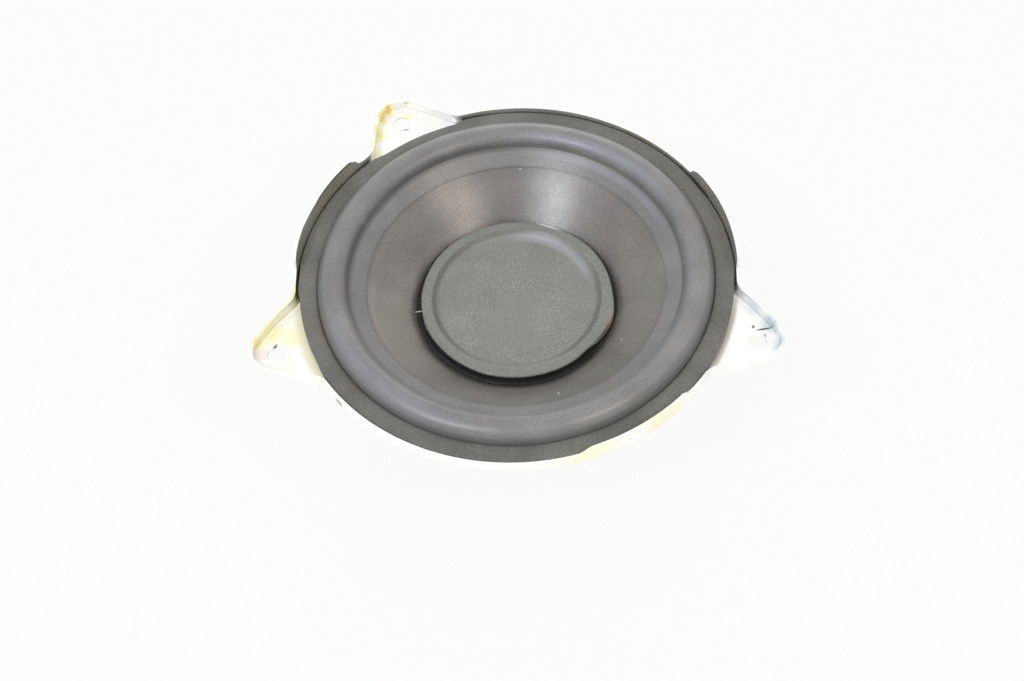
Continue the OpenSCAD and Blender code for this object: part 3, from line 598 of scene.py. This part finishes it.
basket = {
    "sheet": 1.0,
    "bend": 1.5,  # radius of the middle of the sheet in its bends
    "bendSteps": 5,
    "columns": 540,
    "line": [(20.5, 25.5), (34.5, 25.5), (35.5, 33), (43.5, 33), (62.5, 59), (63.9, 66.9), (66, 66.9)],
    "slopeRows": (4, 12, 3),  # below, along and above the windows
    "slopeMargin": 1,  # this far from the slope's ends, columns begin to follow the legs
    "flangeRows": (0, 0.12, 0.24, 0.34, 0.44, 0.505, 0.566, 0.637, 0.708, 0.779, 0.849, 0.93, 1.0),
    "wallRows": 4,
    "rimRadius": 72.5,
    "steps": (-0.5, 32.5, 139.8, 177.6, 287.1, 316.9),  # where the wall's top changes height
    "stepReach": 4.0,  # columns this near to a step crowd towards it
    "stepCrowd": 1.5,
    "topLine": [  # angle and height
        (-1.6, 71.7), (0.6, 76.2), (16, 76.3), (21, 76.2), (24, 75.9), (28, 75.7), (30.6, 75.3), (32.2, 74.2),
        (33.8, 71.85), (60, 71.8), (80, 71.95), (97, 71.9), (110, 71.7), (130, 71.9), (134.7, 72.4),
        (136.5, 72.2), (138.3, 72.5), (140.4, 75.3), (142, 76.8), (148, 77), (155.5, 77), (158.8, 76.6),
        (163, 76.7), (167, 77), (171, 76.9), (174.5, 76.6), (176.4, 75.6), (178.6, 72.3), (180, 71.7),
        (285, 71.7), (289.2, 74.2), (314.8, 74.2), (319, 71.7), (358.4, 71.7),
    ],
    "ears": (120, 200, 340),
    "earCircle": 81.5,
    "earTip": 7.9,
    "earTaper": 34,
    "earRoot": 6.5,
    "earSteps": 24,
    "beside": 0.05,  # how many degrees to each side the wall is looked up, to find which way it faces
    "earFrom": (72.6, 73.5),  # a wall at this radius begins to be, and is, an ear's
    "earSink": 0.2,
    "earSinkFrom": (70.8, 71.5),
    "earDrop": (1.6, 0.5),  # how much lower an ear's tip is, and how far outside the rim that begins
    "hole": 3.1,
    "holeRows": (6, 10),
    "holeColumns": 4,
    "legs": 6,
    "firstLeg": 340,
    "legWidth": 16,
    "legColumns": 14,  # from a leg's middle to its side
    "window": (7.6, 24.6),  # along the slope
    "windowCorner": 5,
    "rib": (3.5, 2.0, 4.6),  # half width, height, distance from the slope's ends
    "ribFlank": (0.6, -1.2),  # beside its half width, where it fades out
    "ribRun": 4,
    "edge": 0.22,
    "edgeAngle": 60,
    "lug": {"way": 70, "from": 41.5, "to": 60.5, "width": 12, "corner": (2, 4), "height": 33},
    "lugHole": (55, 1.3, 24),  # for the rivet: place, radius, steps
    "behind": (66.8, 64.5),  # heights between which the front's look turns to the rear's
    "dullMirror": 0.28,  # the plating is chalky on the ears, on the rim's outside and on its upper edge
    "dullEar": 3,
    "dullOutside": (72.1, 72.6),
    "dullEdge": (71.6, 71.9),
    "dullUpward": (0.3, 0.6),
    # the plain white tone in front is a painted highlight for the strong light that washes the front out
    "plainTone": 0.5,
    "backTone": 0.72,
    "toneCore": 0.2,
    "tones": [  # x, y, reach and tone of the tinted places on the rim and the ears
        (-50.8, 56.4, 5, 0.68), (-49.8, 65.0, 5, 0.74), (-48.9, 72.5, 4, 0.84), (-46.5, 76.8, 3.5, 0.9),
        (-38.8, 74.5, 3.5, 0.66), (-84.2, -24.0, 4, 0.76), (-82.5, -17.5, 5, 0.8), (-78.5, -12.0, 5, 0.78),
        (-74.0, -7.0, 5, 0.76), (-79.0, -20.0, 7, 0.66), (-72.0, -22.0, 6, 0.62), (73.5, -9.5, 4, 0.42),
        (77.5, -14.5, 5, 0.3), (81.5, -21.5, 5, 0.12), (83.5, -29.0, 4, 0.2), (79.5, -27.0, 5, 0.38),
        (25.0, -69.0, 14, 0.58), (45.0, -57.5, 10, 0.6),
    ],
}
columnAngle = 360 / basket["columns"]
holeReach = basket["holeColumns"] * columnAngle


def earOutline():  # direction and radius of half an ear's wall, from the tip to its root
    taper = math.radians(basket["earTaper"])
    tip, root, steps = basket["earTip"], basket["earRoot"], basket["earSteps"]
    middle = Vector((basket["earCircle"], 0))
    way = Vector((-math.cos(taper), math.sin(taper)))
    start = middle + Vector((math.sin(taper), math.cos(taper))) * (tip + root)
    reach = basket["rimRadius"] + root
    b = start.dot(way)
    centre = start - way * (b + math.sqrt(b * b - start.dot(start) + reach * reach))
    toward = math.atan2(centre.y, centre.x) + math.pi
    points = arc(middle, tip, 0, math.pi / 2 - taper, steps)
    points += arc(centre, root, math.radians(270) - taper, toward, steps)
    return [(math.atan2(p.y, p.x), p.length) for p in points]


def pathUpSlope():  # the sheet's line up to the flange, with rows on the slope for the windows
    line = [Vector(p) for p in basket["line"]]
    foot, top = line[3], line[4]
    way = (top - foot).normalized()
    path = roundCorners(line, basket["bend"], basket["bendSteps"])
    last = 3 * (basket["bendSteps"] + 1)  # the third bend ends here, on the slope
    start, end = ((p - foot).length for p in path[last : last + 2])
    low, high = basket["window"]
    below, along, above = basket["slopeRows"]
    stops = spread(start, low, below) + spread(low, high, along) + spread(high, end, above)[:-1]
    return {
        "points": path[: last + 1] + [foot + way * t for t in stops] + path[last + 1 :],
        "stops": dict(enumerate([start] + stops + [end], last)),  # how far up the slope a row lies
        "windowRows": (last + below, last + below + along),
        "foot": foot,
        "way": way,
        "out": Vector((way.y, -way.x)),
        "length": (top - foot).length,
    }


earLine = earOutline()
earRootAngle = math.degrees(earLine[-1][0])
slope = pathUpSlope()
flangeStart = len(slope["points"]) - 1
flangeEnd = len(basket["flangeRows"]) - 1  # counted from the flange's start, as the two below
bendEnd = flangeEnd + basket["bendSteps"]
wallEnd = bendEnd + basket["wallRows"]


def nearestEar(angle):  # how far off the nearest ear is, and its direction
    return min((abs(apart(angle, ear)), ear) for ear in basket["ears"])


def wallRadius(angle):  # radius of the rim's or an ear's wall
    off = nearestEar(angle)[0] * degree
    if off < earLine[-1][0]:
        for (a0, r0), (a1, r1) in zip(earLine, earLine[1:]):
            if a0 <= off <= a1:
                return r0 + (r1 - r0) * (off - a0) / max(a1 - a0, 1e-9)
    return basket["rimRadius"]


def wallTop(angle, radius):
    line = basket["topLine"]
    here = (angle - line[0][0]) % 360 + line[0][0]
    for (a0, top0), (a1, top1) in zip(line, line[1:]):
        if a0 <= here <= a1:
            top = top0 + (top1 - top0) * smoothStep(here, a0, a1)
            break
    rim, tip = basket["rimRadius"], basket["earCircle"] + basket["earTip"]
    drop, begin = basket["earDrop"]
    return top - drop * max(radius - rim - begin, 0) / (tip - rim)


def rimAngle(column):  # columns crowd together where the rim's wall steps up
    angle = column * columnAngle
    near = basket["stepReach"]
    for step in basket["steps"]:
        off = apart(angle, step)
        if abs(off) < near:
            return step + math.copysign(near * (abs(off) / near) ** basket["stepCrowd"], off)
    return angle


def nearestLeg(column):  # number of the nearest leg, and how many columns away its middle is
    perLeg = basket["columns"] // basket["legs"]
    first = round(basket["firstLeg"] / columnAngle)
    number = (column - first + perLeg // 2) // perLeg
    return number, column - first - number * perLeg


def legAngle(column, radius):  # on the slope, columns follow the straight sides of the legs
    number, off = nearestLeg(column)
    pitch = 360 / basket["legs"]
    legHalf = math.degrees(math.asin(basket["legWidth"] / 2 / radius))
    inLeg = basket["legColumns"]
    if abs(off) <= inLeg:
        turned = off / inLeg * legHalf
    else:
        share = (abs(off) - inLeg) / (pitch / 2 / columnAngle - inLeg)
        turned = math.copysign(legHalf + share * (pitch / 2 - legHalf), off)
    return basket["firstLeg"] + number * pitch + turned


def fromLeg(angle):
    pitch = 360 / basket["legs"]
    return abs((angle - basket["firstLeg"] + pitch / 2) % pitch - pitch / 2)


def roundWindow(column, t, turned):  # moves a point on a window's edge onto the arc in its corner
    low, high = basket["window"]
    corner = basket["windowCorner"]
    radius = (slope["foot"] + slope["way"] * t).x
    legHalf = math.asin(basket["legWidth"] / 2 / radius)
    spot = Vector(((fromLeg(turned) * degree - legHalf) * radius, min(t - low, high - t)))
    if max(spot) < corner:
        centre = Vector((corner, corner))
        moved = centre + (spot - centre).normalized() * corner
        t = low + moved.y if t - low < high - t else high - moved.y
        radius = (slope["foot"] + slope["way"] * t).x
        turned += math.copysign(math.degrees((moved.x - spot.x) / radius), nearestLeg(column)[1])
    return t, turned


def slopeSpot(column, row):  # where a corner of the sheet lies, from the magnet to the flange
    turned = column * columnAngle
    if row not in slope["stops"]:
        return polar(slope["points"][row].x, turned, slope["points"][row].y)
    t, length = slope["stops"][row], slope["length"]
    low, high = basket["window"]
    margin = basket["slopeMargin"]
    warp = min(smoothStep(t, margin, low), smoothStep(t, length - margin, high))
    turned += warp * apart(legAngle(column, slope["points"][row].x), turned)
    off, (first, last) = abs(nearestLeg(column)[1]), slope["windowRows"]
    onSide = off == basket["legColumns"] and first <= row <= last
    onEnd = off > basket["legColumns"] and row in (first, last)
    if onSide or onEnd:
        t, turned = roundWindow(column, t, turned)
    spot = slope["foot"] + slope["way"] * t
    half, height, margin = basket["rib"]
    across = math.sin(fromLeg(turned) * degree) * spot.x
    lift = smoothStep(across, *(half + flank for flank in basket["ribFlank"]))
    lift *= smoothStep(t, margin, margin + basket["ribRun"])
    lift *= smoothStep(t, length - margin, length - margin - basket["ribRun"])
    spot += slope["out"] * lift * height
    return polar(spot.x, turned, spot.y)


def rimSpot(column, k):  # where a corner of the flange, its bend or the wall lies
    angle = rimAngle(column)
    wall = wallRadius(angle)
    edge = polar(wall, angle, 0)
    beside = basket["beside"]
    before, after = (polar(wallRadius(a), a, 0) for a in (angle - beside, angle + beside))
    normal = Vector((after.y - before.y, before.x - after.x, 0)).normalized()
    bend = basket["bend"]
    foot = edge - normal * bend
    floor = basket["line"][-1][1]
    sunk = basket["earSink"] * smoothStep(wall, *basket["earFrom"])
    if k <= flangeEnd:
        p = polar(basket["line"][-1][0], angle, 0).lerp(foot, basket["flangeRows"][k])
        sunk *= smoothStep(p.length, *basket["earSinkFrom"])
        off, ear = nearestEar(column * columnAngle)
        if basket["holeRows"][0] <= k <= basket["holeRows"][1] and off < holeReach + columnAngle / 2:
            centre = polar(basket["earCircle"], ear, 0)
            p = centre + (p - centre).normalized() * basket["hole"]
        return Vector((p.x, p.y, floor - sunk))
    low = floor - sunk + bend
    if k <= bendEnd:
        a = math.pi / 2 * (k - flangeEnd) / basket["bendSteps"]
        p = foot + normal * bend * math.sin(a)
        return Vector((p.x, p.y, low - bend * math.cos(a)))
    share = (k - bendEnd) / basket["wallRows"]
    return Vector((edge.x, edge.y, low + (wallTop(angle, wall) - low) * share))


def cutOpenings(mesh, spots):  # the windows between the legs and the screw holes in the ears
    windowLow, windowHigh = slope["windowRows"]
    holeLow, holeHigh = (flangeStart + k for k in basket["holeRows"])
    dropped = []
    for face in mesh.faces:
        columns, rows = zip(*(spots[vert] for vert in face.verts))
        if max(columns) - min(columns) > 2:  # the last column's faces end at column 0
            columns = [c if c < basket["columns"] / 2 else c - basket["columns"] for c in columns]
        offLeg = min(abs(nearestLeg(c)[1]) for c in columns)
        offEar = nearestEar((min(columns) + max(columns)) / 2 * columnAngle)[0]
        inWindow = offLeg >= basket["legColumns"] and windowLow <= min(rows) and max(rows) <= windowHigh
        inHole = offEar < holeReach and holeLow <= min(rows) and max(rows) <= holeHigh
        if inWindow or inHole:
            dropped.append(face)
    bmesh.ops.delete(mesh, geom=dropped, context="FACES")


def addLug(mesh):  # a tongue on the spider's shelf that carries the terminals
    lug = basket["lug"]
    half, start, end = lug["width"] / 2, lug["from"], lug["to"]
    outline = roundCorners([(start, -half), (end, -half), (end, half), (start, half)], *lug["corner"])
    middle, radius, steps = basket["lugHole"]
    hole = arc(Vector((middle, 0)), radius, 0, fullTurn, steps)[:-1]
    edges = []
    for loop in (outline, hole):
        corners = [mesh.verts.new(aboutAxis(lug["way"]) @ Vector((*p, lug["height"])) * mm) for p in loop]
        edges += [mesh.edges.new(pair) for pair in zip(corners, corners[1:] + corners[:1])]
    bmesh.ops.triangle_fill(mesh, edges=edges, use_beauty=True, normal=(0, 0, 1))


def toneBasket(data):  # tints where the passivation shows, golden behind; the front is painted near white, a painted highlight for strong light washing it out
    tones, mirrors = [], []
    for vert in data.vertices:
        x, y, z = vert.co / mm
        tone = basket["plainTone"]
        for spotX, spotY, reach, spotTone in basket["tones"]:
            share = smoothStep(math.hypot(x - spotX, y - spotY), reach, reach * basket["toneCore"])
            tone += (spotTone - tone) * share
        # below the rim the gold shows; above it the painted white highlight stays
        behind = smoothStep(z, *basket["behind"])
        tones.append(tone + (basket["backTone"] - tone) * behind)
        radius, angle = polarOf(vert.co)
        upward = smoothStep(vert.normal.z, *basket["dullUpward"]) * smoothStep(radius, *basket["dullEdge"])
        onEar = smoothStep(nearestEar(angle)[0], earRootAngle, earRootAngle - basket["dullEar"])
        dull = max(onEar, smoothStep(radius, *basket["dullOutside"]), upward)
        mirrors.append(1 - (1 - basket["dullMirror"]) * dull * (1 - behind))
    for name, values in (("tone", tones), ("mirror", mirrors)):
        data.attributes.new(name, "FLOAT", "POINT").data.foreach_set("value", values)


def makeBasket():
    mesh = bmesh.new()
    columns = basket["columns"]
    spinLine(mesh, [(1, 0, row) for row in range(flangeStart + wallEnd + 1)], columns, False)
    spots = {}
    for vert in mesh.verts:  # each vertex's column and row
        turned = math.atan2(vert.co.y, vert.co.x) / fullTurn
        spots[vert] = (round(turned * columns) % columns, round(vert.co.z))
    cutOpenings(mesh, spots)
    for vert in mesh.verts:
        column, row = spots[vert]
        vert.co = slopeSpot(column, row) if row < flangeStart else rimSpot(column, row - flangeStart)
    bmesh.ops.scale(mesh, vec=(mm, mm, mm), verts=mesh.verts)
    bmesh.ops.recalc_face_normals(mesh, faces=mesh.faces)
    mesh.normal_update()
    if sum(face.normal.z * face.calc_area() for face in mesh.faces) < 0:
        bmesh.ops.reverse_faces(mesh, faces=mesh.faces)
    addLug(mesh)

    obj = addPiece("basket", mesh, "yellowZincSteel", ("frame",), body=None)
    shell = obj.modifiers.new("sheet", "SOLIDIFY")
    shell.thickness = basket["sheet"] * mm
    shell.offset = 0
    shell.use_even_offset = True
    rounding = obj.modifiers.new("edges", "BEVEL")
    rounding.width = basket["edge"] * mm
    rounding.segments = 2
    rounding.limit_method = "ANGLE"
    rounding.angle_limit = basket["edgeAngle"] * degree
    obj.data = evaluatedMesh(obj)
    obj.modifiers.clear()
    shadeSmooth(obj.data)
    toneBasket(obj.data)
    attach(obj, "frame")


makeBasket()
print("basket made")

# Gasket, surround, cone and dust cap

# Corners and bends are a radius and a number of steps, uneven is how deep and how wide the dents are, and
# shifts are the angle, reach and size of places where an edge is out.
gasket = {
    "inner": 65.2,
    "outer": 71.4,
    "rear": 68.0,
    "front": 70.0,
    "edge": (0.3, 3),
    "uneven": (0.08, 9),
    "shifts": [(119, 15, -1.0), (197, 14, -0.4), (68, 40, 0.35), (158, 22, 0.35), (12, 16, 0.35)],
    "shiftFlat": 0.7,
}
roll = {
    "middle": 60,
    "radius": 4.7,
    "front": 70,
    "thickness": 0.6,
    "steps": 20,
    "outerLand": 70.4,
    "outerZ": 67.7,
    "valley": (54.95, 70.51),  # where the roll meets its land
    "valleyBend": (1.2, 5),
    "landEnd": (49.3, 66.33),
    "landRows": 4,
    "corner": (0.9, 4),
    "uneven": (0.1, 14),
    "flex": (65.0, 54.5),  # weights are 0 outside the one radius and 1 inside the other; they are not kept
}
cone = {
    "line": [(54.4, 69.233), (16.7, 40.824), (16.7, 37.824)],
    "rows": 16,
    "bend": (2, 5),
    "thickness": 0.9,
    "uneven": (0.12, 16),
}
cap = {
    "line": [(31.85, 53.07), (31.85, 57.12), (28.7, 57.12), (26.4, 55.45), (0, 55.45)],
    "rows": 14,
    "steps": 220,
    "corner": (0.42, 5),
    "thickness": 0.7,
    "uneven": (0.16, 9),
    "edgeFrom": 28.8,
    "shifts": [(346, 21, 0.85), (316, 9, -0.4), (252, 12, 0.2), (95, 14, -0.15)],
}
bead = {
    "foot": (32.2, 53.07),
    "outline": [(-0.4, -0.6), (1.0, 0.62), (1.05, 0.8), (0.7, 0.95), (0.25, 1.15), (0.2, 2), (-0.2, 2)],
    "least": 0.7,
    "most": 1.6,
    "mostAt": 190,
    "waver": (0.3, 9),  # size, and length in degrees
    "wallShadeSmear": (1.3, 3.75, 262, 72, 0.75),  # least and most height of the dark glue sheet on the cap's wall, which is partly painted shade, and where it is high
    "wallShadeSmearFrom": 1.5,
    "wallShadeWaver": (0.15, 4),
    "uneven": (0.12, 2.5),
}
lint = [  # x, y, z, length, width, turn
    (-32.7, -5.1, 56.9, 3.0, 0.22, 8),
    (1.7, 48.7, 66.0, 0.8, 0.5, 20),
    (34.3, -19.6, 58.7, 0.6, 0.4, 40),
    (13.4, -41.5, 61.6, 0.6, 0.45, 0),
]


def hump(angle, middle, reach, flat=0):  # 1 at the middle, 0 beyond the reach, in degrees
    return smoothStep(abs(apart(angle, middle)), reach, reach * flat)


def shiftEdge(mesh, shifts, start, end, flat=0):  # moves a round edge in or out by angle
    for vert in mesh.verts:
        radius, angle = polarOf(vert.co)
        share = smoothStep(radius, start, end)
        if share:
            shift = share * sum(size * hump(angle, at, reach, flat) for at, reach, size in shifts)
            vert.co.xy *= 1 + shift / radius


def makeGasket():
    i, o, rear, front = gasket["inner"], gasket["outer"], gasket["rear"], gasket["front"]
    middle = (i + o) / 2
    outline = [(middle, rear), (o, rear), (o, front), (i, front), (i, rear), (middle, rear)]
    mesh = turn(roundCorners(outline, *gasket["edge"])[:-1])
    shiftEdge(mesh, gasket["shifts"], i + 1, o - 1, gasket["shiftFlat"])
    unevenness(mesh, *gasket["uneven"])
    addPiece("frontGasket", mesh, "fibreGasket", ("front_gasket",))


def makeRoll():
    middle, radius, front, rear = roll["middle"], roll["radius"], roll["front"], roll["outerZ"]
    outer = [(roll["outerLand"], rear), (middle + radius, rear), (middle + radius, front)]
    path = roundCorners(outer, *roll["corner"])[:-1]
    path += arc(Vector((middle, front)), radius, 0, math.pi, roll["steps"])[: roll["steps"] - 2]
    path += roundCorners([path[-1], roll["valley"], roll["landEnd"]], *roll["valleyBend"])[1:-1]
    path += spread(path[-1], Vector(roll["landEnd"]), roll["landRows"])
    mesh = turn(thicken(path, roll["thickness"]))
    unevenness(mesh, *roll["uneven"])
    obj = addPiece("surroundRoll", mesh, "satinFoam", ("surround",), body=None, crease=60)
    followByRadius(obj, *roll["flex"])


def makeCone():
    path = roundCorners(cone["line"], *cone["bend"])
    path = path[:1] + spread(path[0], path[1], cone["rows"]) + path[2:]
    mesh = turn(thicken(path, cone["thickness"]))
    unevenness(mesh, *cone["uneven"])
    addPiece("coneBody", mesh, "coatedPulp", ("cone",), "cone_assembly")


def makeCap():
    path = roundCorners(cap["line"], *cap["corner"])
    path = path[:-1] + spread(path[-2], path[-1], cap["rows"])
    mesh = turn(thicken(path, cap["thickness"]), cap["steps"])
    unevenness(mesh, *cap["uneven"])
    shiftEdge(mesh, cap["shifts"], cap["edgeFrom"], cap["line"][0][0])
    addPiece("feltCap", mesh, "pressedFelt", ("dust_cap",), "cone_assembly")


def makeBead():  # the glue lies thickest on the left, where it also stands in for the shadow under the cap's edge, and a dark sheet of it up the near wall is partly painted shade
    foot = Vector(bead["foot"])
    mesh = turn([foot + Vector(p) for p in bead["outline"]])
    low, high, *place = bead["wallShadeSmear"]
    (waver, length), (wallShadeWaver, wallShadeLength) = bead["waver"], bead["wallShadeWaver"]
    for vert in mesh.verts:
        radius, angle = polarOf(vert.co)
        rise = vert.co.z / mm - foot.y
        # above this, the glue is the dark sheet on the near wall, partly painted shade
        if rise > bead["wallShadeSmearFrom"]:
            rise = low + (high - low) * hump(angle, *place)
            rise += wallShadeWaver * noise.noise(Vector((angle / wallShadeLength, 5, 0)))
        else:
            share = (1 + math.cos((angle - bead["mostAt"]) * degree)) / 2
            size = bead["least"] + (bead["most"] - bead["least"]) * share**4
            size += waver * noise.noise(Vector((angle / length, 0, 0)))
            vert.co.xy *= (foot.x + (radius - foot.x) * size) / radius
            rise *= size
        vert.co.z = (foot.y + rise) * mm
    shiftEdge(mesh, cap["shifts"], cap["edgeFrom"], cap["line"][0][0])
    unevenness(mesh, *bead["uneven"])
    addPiece("capBead", mesh, "contactGlue", ("dust_cap_glue",), "cone_assembly", crease=80)


def makeLint():  # a fibre at the cap's side and specks of dust
    mesh = bmesh.new()
    for x, y, z, length, width, turned in lint:
        speck = bmesh.ops.create_icosphere(mesh, subdivisions=2, radius=mm / 2)["verts"]
        bmesh.ops.scale(mesh, vec=(length, width, width), verts=speck)
        bmesh.ops.rotate(mesh, cent=(0, 0, 0), matrix=aboutAxis(turned), verts=speck)
        bmesh.ops.translate(mesh, vec=Vector((x, y, z)) * mm, verts=speck)
    addPiece("lint", mesh, "cottonLint", body="cone_assembly", crease=80)


makeGasket()
makeRoll()
makeCone()
makeCap()
makeBead()
makeLint()
print("gasket, surround, cone and cap made")

# Spider, voice coil, leads and magnet glue

spider = {
    "collar": (16.75, 34.75),
    "collarBend": 0.35,
    "level": 33.75,
    "waves": (17.95, 33.7, 4, 1.1),  # from, to, count, height
    "waveSteps": 12,
    "land": (35, 38.5, 42.5),
    "thickness": 0.5,
    "uneven": (0.08, 7),
    "flex": (35.5, 17.95),
}
winding = {
    "inner": 16.0,
    "outer": 16.75,
    "from": 17.5,
    "to": 27.5,
    "wire": 0.4,
    "half": 0.49,  # of a turn's height, so that neighbours stay apart
    "ring": 5,
    "steps": 120,
}
lead = {
    "way": 70,
    "start": (51.4, 11, 39.3),
    "end": (18.2, 4.33, 36.69),
    "rise": 6.4,
    "loop": [  # how far along, and what part of the rise
        (0, -0.1), (0, 0.25), (0.04, 0.52), (0.12, 0.87), (0.25, 0.99), (0.46, 0.83), (0.7, 0.4),
        (0.88, 0.1), (1, 0),
    ],
    "strands": 5,
    "strand": 0.25,
    "pitch": 4.5,
    "stepsPerSpan": 14,
    "steep": 0.9,  # steeper than this, the strands are laid out from the axis
    "radius": 0.34,
    "flex": (50.0, 19.0),
}
magnetGlue = {
    "rings": [(35.0, 20.0, 0.45, 1), (33.0, 5.0, 0.5, -1)],  # plate's radius, magnet's face, bead, its way
    "inside": (0.4, 0.1),  # how far it reaches in between them, and down
    "waver": (0.2, 6),  # size, and how often
    "steps": 160,
}
solder = {"radius": 1.0, "form": (0.9, 1.2, 0.9), "sunk": 0.1, "waver": (0.2, 1.3, 7)}  # each blob its own


def makeSpider():
    first, last, count, height = spider["waves"]
    level, inner, bend = spider["level"], spider["collar"][0], spider["collarBend"]
    path = [Vector(spider["collar"]), Vector((inner, level + bend)), Vector((inner + bend, level))]
    steps = count * spider["waveSteps"]
    for k in range(steps + 1):
        radius = first + (last - first) * k / steps
        path.append(Vector((radius, level + height * math.sin(fullTurn * count * k / steps))))
    path += [Vector((radius, level)) for radius in spider["land"]]
    mesh = turn(thicken(path, spider["thickness"]))
    unevenness(mesh, *spider["uneven"])
    obj = addPiece("spiderCloth", mesh, "resinCloth", ("spider",), body=None, crease=60)
    followByRadius(obj, *spider["flex"])


def makeWinding():
    wire, low, high = winding["wire"], winding["from"], winding["to"]
    outline = [Vector((winding["inner"], low))]
    for k in range(round((high - low) / wire)):
        middle = low + (k + 0.5) * wire
        for n in range(winding["ring"]):
            a = -math.pi / 2 + math.pi * n / (winding["ring"] - 1)
            radius = winding["outer"] - wire / 2 + wire / 2 * math.cos(a)
            outline.append(Vector((radius, middle + wire * winding["half"] * math.sin(a))))
    outline.append(Vector((winding["inner"], high)))
    mesh = turn(outline, winding["steps"])
    addPiece("windingTurns", mesh, "enamelledCopper", ("coil_winding",), "cone_assembly", 80)


def smoothLine(points, steps):  # a smooth line through all the points
    line = []
    for i in range(len(points) - 1):
        a, b, c, d = (points[min(max(i + k, 0), len(points) - 1)] for k in (-1, 0, 1, 2))
        for k in range(steps):
            t = k / steps
            bent = (2 * a - 5 * b + 4 * c - d) * t**2 + (3 * b - a - 3 * c + d) * t**3
            line.append(0.5 * (2 * b + (c - a) * t + bent))
    return line + [points[-1]]


def makeLead(name, slotNode, side):  # tinsel strands twisted round the lead's line
    start, end = Vector(lead["start"]), Vector(lead["end"])
    route = [start.lerp(end, along) + Vector((0, 0, lead["rise"] * rise)) for along, rise in lead["loop"]]
    turned = aboutAxis(lead["way"])
    line = [turned @ Vector((p.x, p.y * side, p.z)) for p in smoothLine(route, lead["stepsPerSpan"])]
    data = bpy.data.curves.new(name, "CURVE")
    data.dimensions = "3D"
    data.bevel_depth = lead["strand"] * mm
    data.bevel_resolution = 1
    data.use_fill_caps = True
    for strand in range(lead["strands"]):
        spline = data.splines.new("POLY")
        spline.points.add(len(line) - 1)
        run = 0.0
        for i, p in enumerate(line):
            way = (line[min(i + 1, len(line) - 1)] - line[max(i - 1, 0)]).normalized()
            run += (p - line[i - 1]).length if i else 0
            a = fullTurn * (strand / lead["strands"] + run / lead["pitch"])
            upright = abs(way.z) >= lead["steep"]
            across = way.cross(turned @ Vector((1, 0, 0)) if upright else Vector((0, 0, 1))).normalized()
            off = (across * math.cos(a) + way.cross(across) * math.sin(a)) * lead["radius"]
            spline.points[i].co = (*((p + off) * mm), 1)
    curve = addObject(name + "Line", data)
    mesh = bmesh.new()
    takeIn(mesh, evaluatedMesh(curve))
    bpy.data.objects.remove(curve)
    obj = addPiece(name, mesh, "tinselBraid", (slotNode,), body=None, crease=80)
    followByRadius(obj, *lead["flex"])


def makeMagnetGlue():  # what squeezed out between the magnet and its plates
    mesh = bmesh.new()
    deep, little = magnetGlue["inside"]
    waver, often = magnetGlue["waver"]
    for radius, level, size, way in magnetGlue["rings"]:
        outline = [(radius - deep, level - little * way), (radius + size, level)]
        outline.append((radius + little, level + size * way))
        ring = turn(outline, magnetGlue["steps"])
        for vert in ring.verts:
            angle = math.atan2(vert.co.y, vert.co.x)
            vert.co.z += noise.noise(Vector((angle * often, level, 0))) * waver * way * mm
        takeIn(mesh, meshData("ring", ring))
    addPiece("magnetGlue", mesh, "contactGlue", crease=80)


def makeSolder():  # solder that holds each lead on its tag
    mesh = bmesh.new()
    out, across, up = lead["start"]
    (waver, length, other), sunk = solder["waver"], solder["sunk"]
    for side in (-1, 1):
        spot = aboutAxis(lead["way"]) @ Vector((out - sunk, across * side, up - sunk))
        blob = bmesh.ops.create_icosphere(mesh, subdivisions=3, radius=solder["radius"] * mm)["verts"]
        bmesh.ops.scale(mesh, vec=solder["form"], verts=blob)
        for vert in blob:
            vert.co *= 1 + waver * noise.noise(vert.co / mm * length + Vector((side * other, 0, 0)))
        bmesh.ops.translate(mesh, vec=spot * mm, verts=blob)
    addPiece("tagSolder", mesh, "tinnedBrass", crease=80)


makeSpider()
makeWinding()
makeLead("positiveTinsel", "positive_lead", 1)
makeLead("negativeTinsel", "negative_lead", -1)
makeMagnetGlue()
makeSolder()
print("spider, coil, leads and glue made")

# Finishes on the nodes that stay

nodeFinishes = {
    "contactGlue": ("cone_neck_glue", "spider_glue"),
    "kraftTube": ("coil_former",),
    "enamelledCopper": ("coil_wires",),
    "turnedZincSteel": ("top_plate", "yoke", "frame_stakes", "board_rivet"),
    "sinteredFerrite": ("magnet",),
    "phenolicBoard": ("terminal_board",),
    "tinnedBrass": ("positive_terminal", "negative_terminal", "terminal_rivets", "lead_joints"),
}
for finishName, nodeNames in nodeFinishes.items():
    for nodeName in nodeNames:
        data = nodes[nodeName].data
        data.materials.clear()
        data.materials.append(finishes[finishName]["material"])
print("nodes finished")
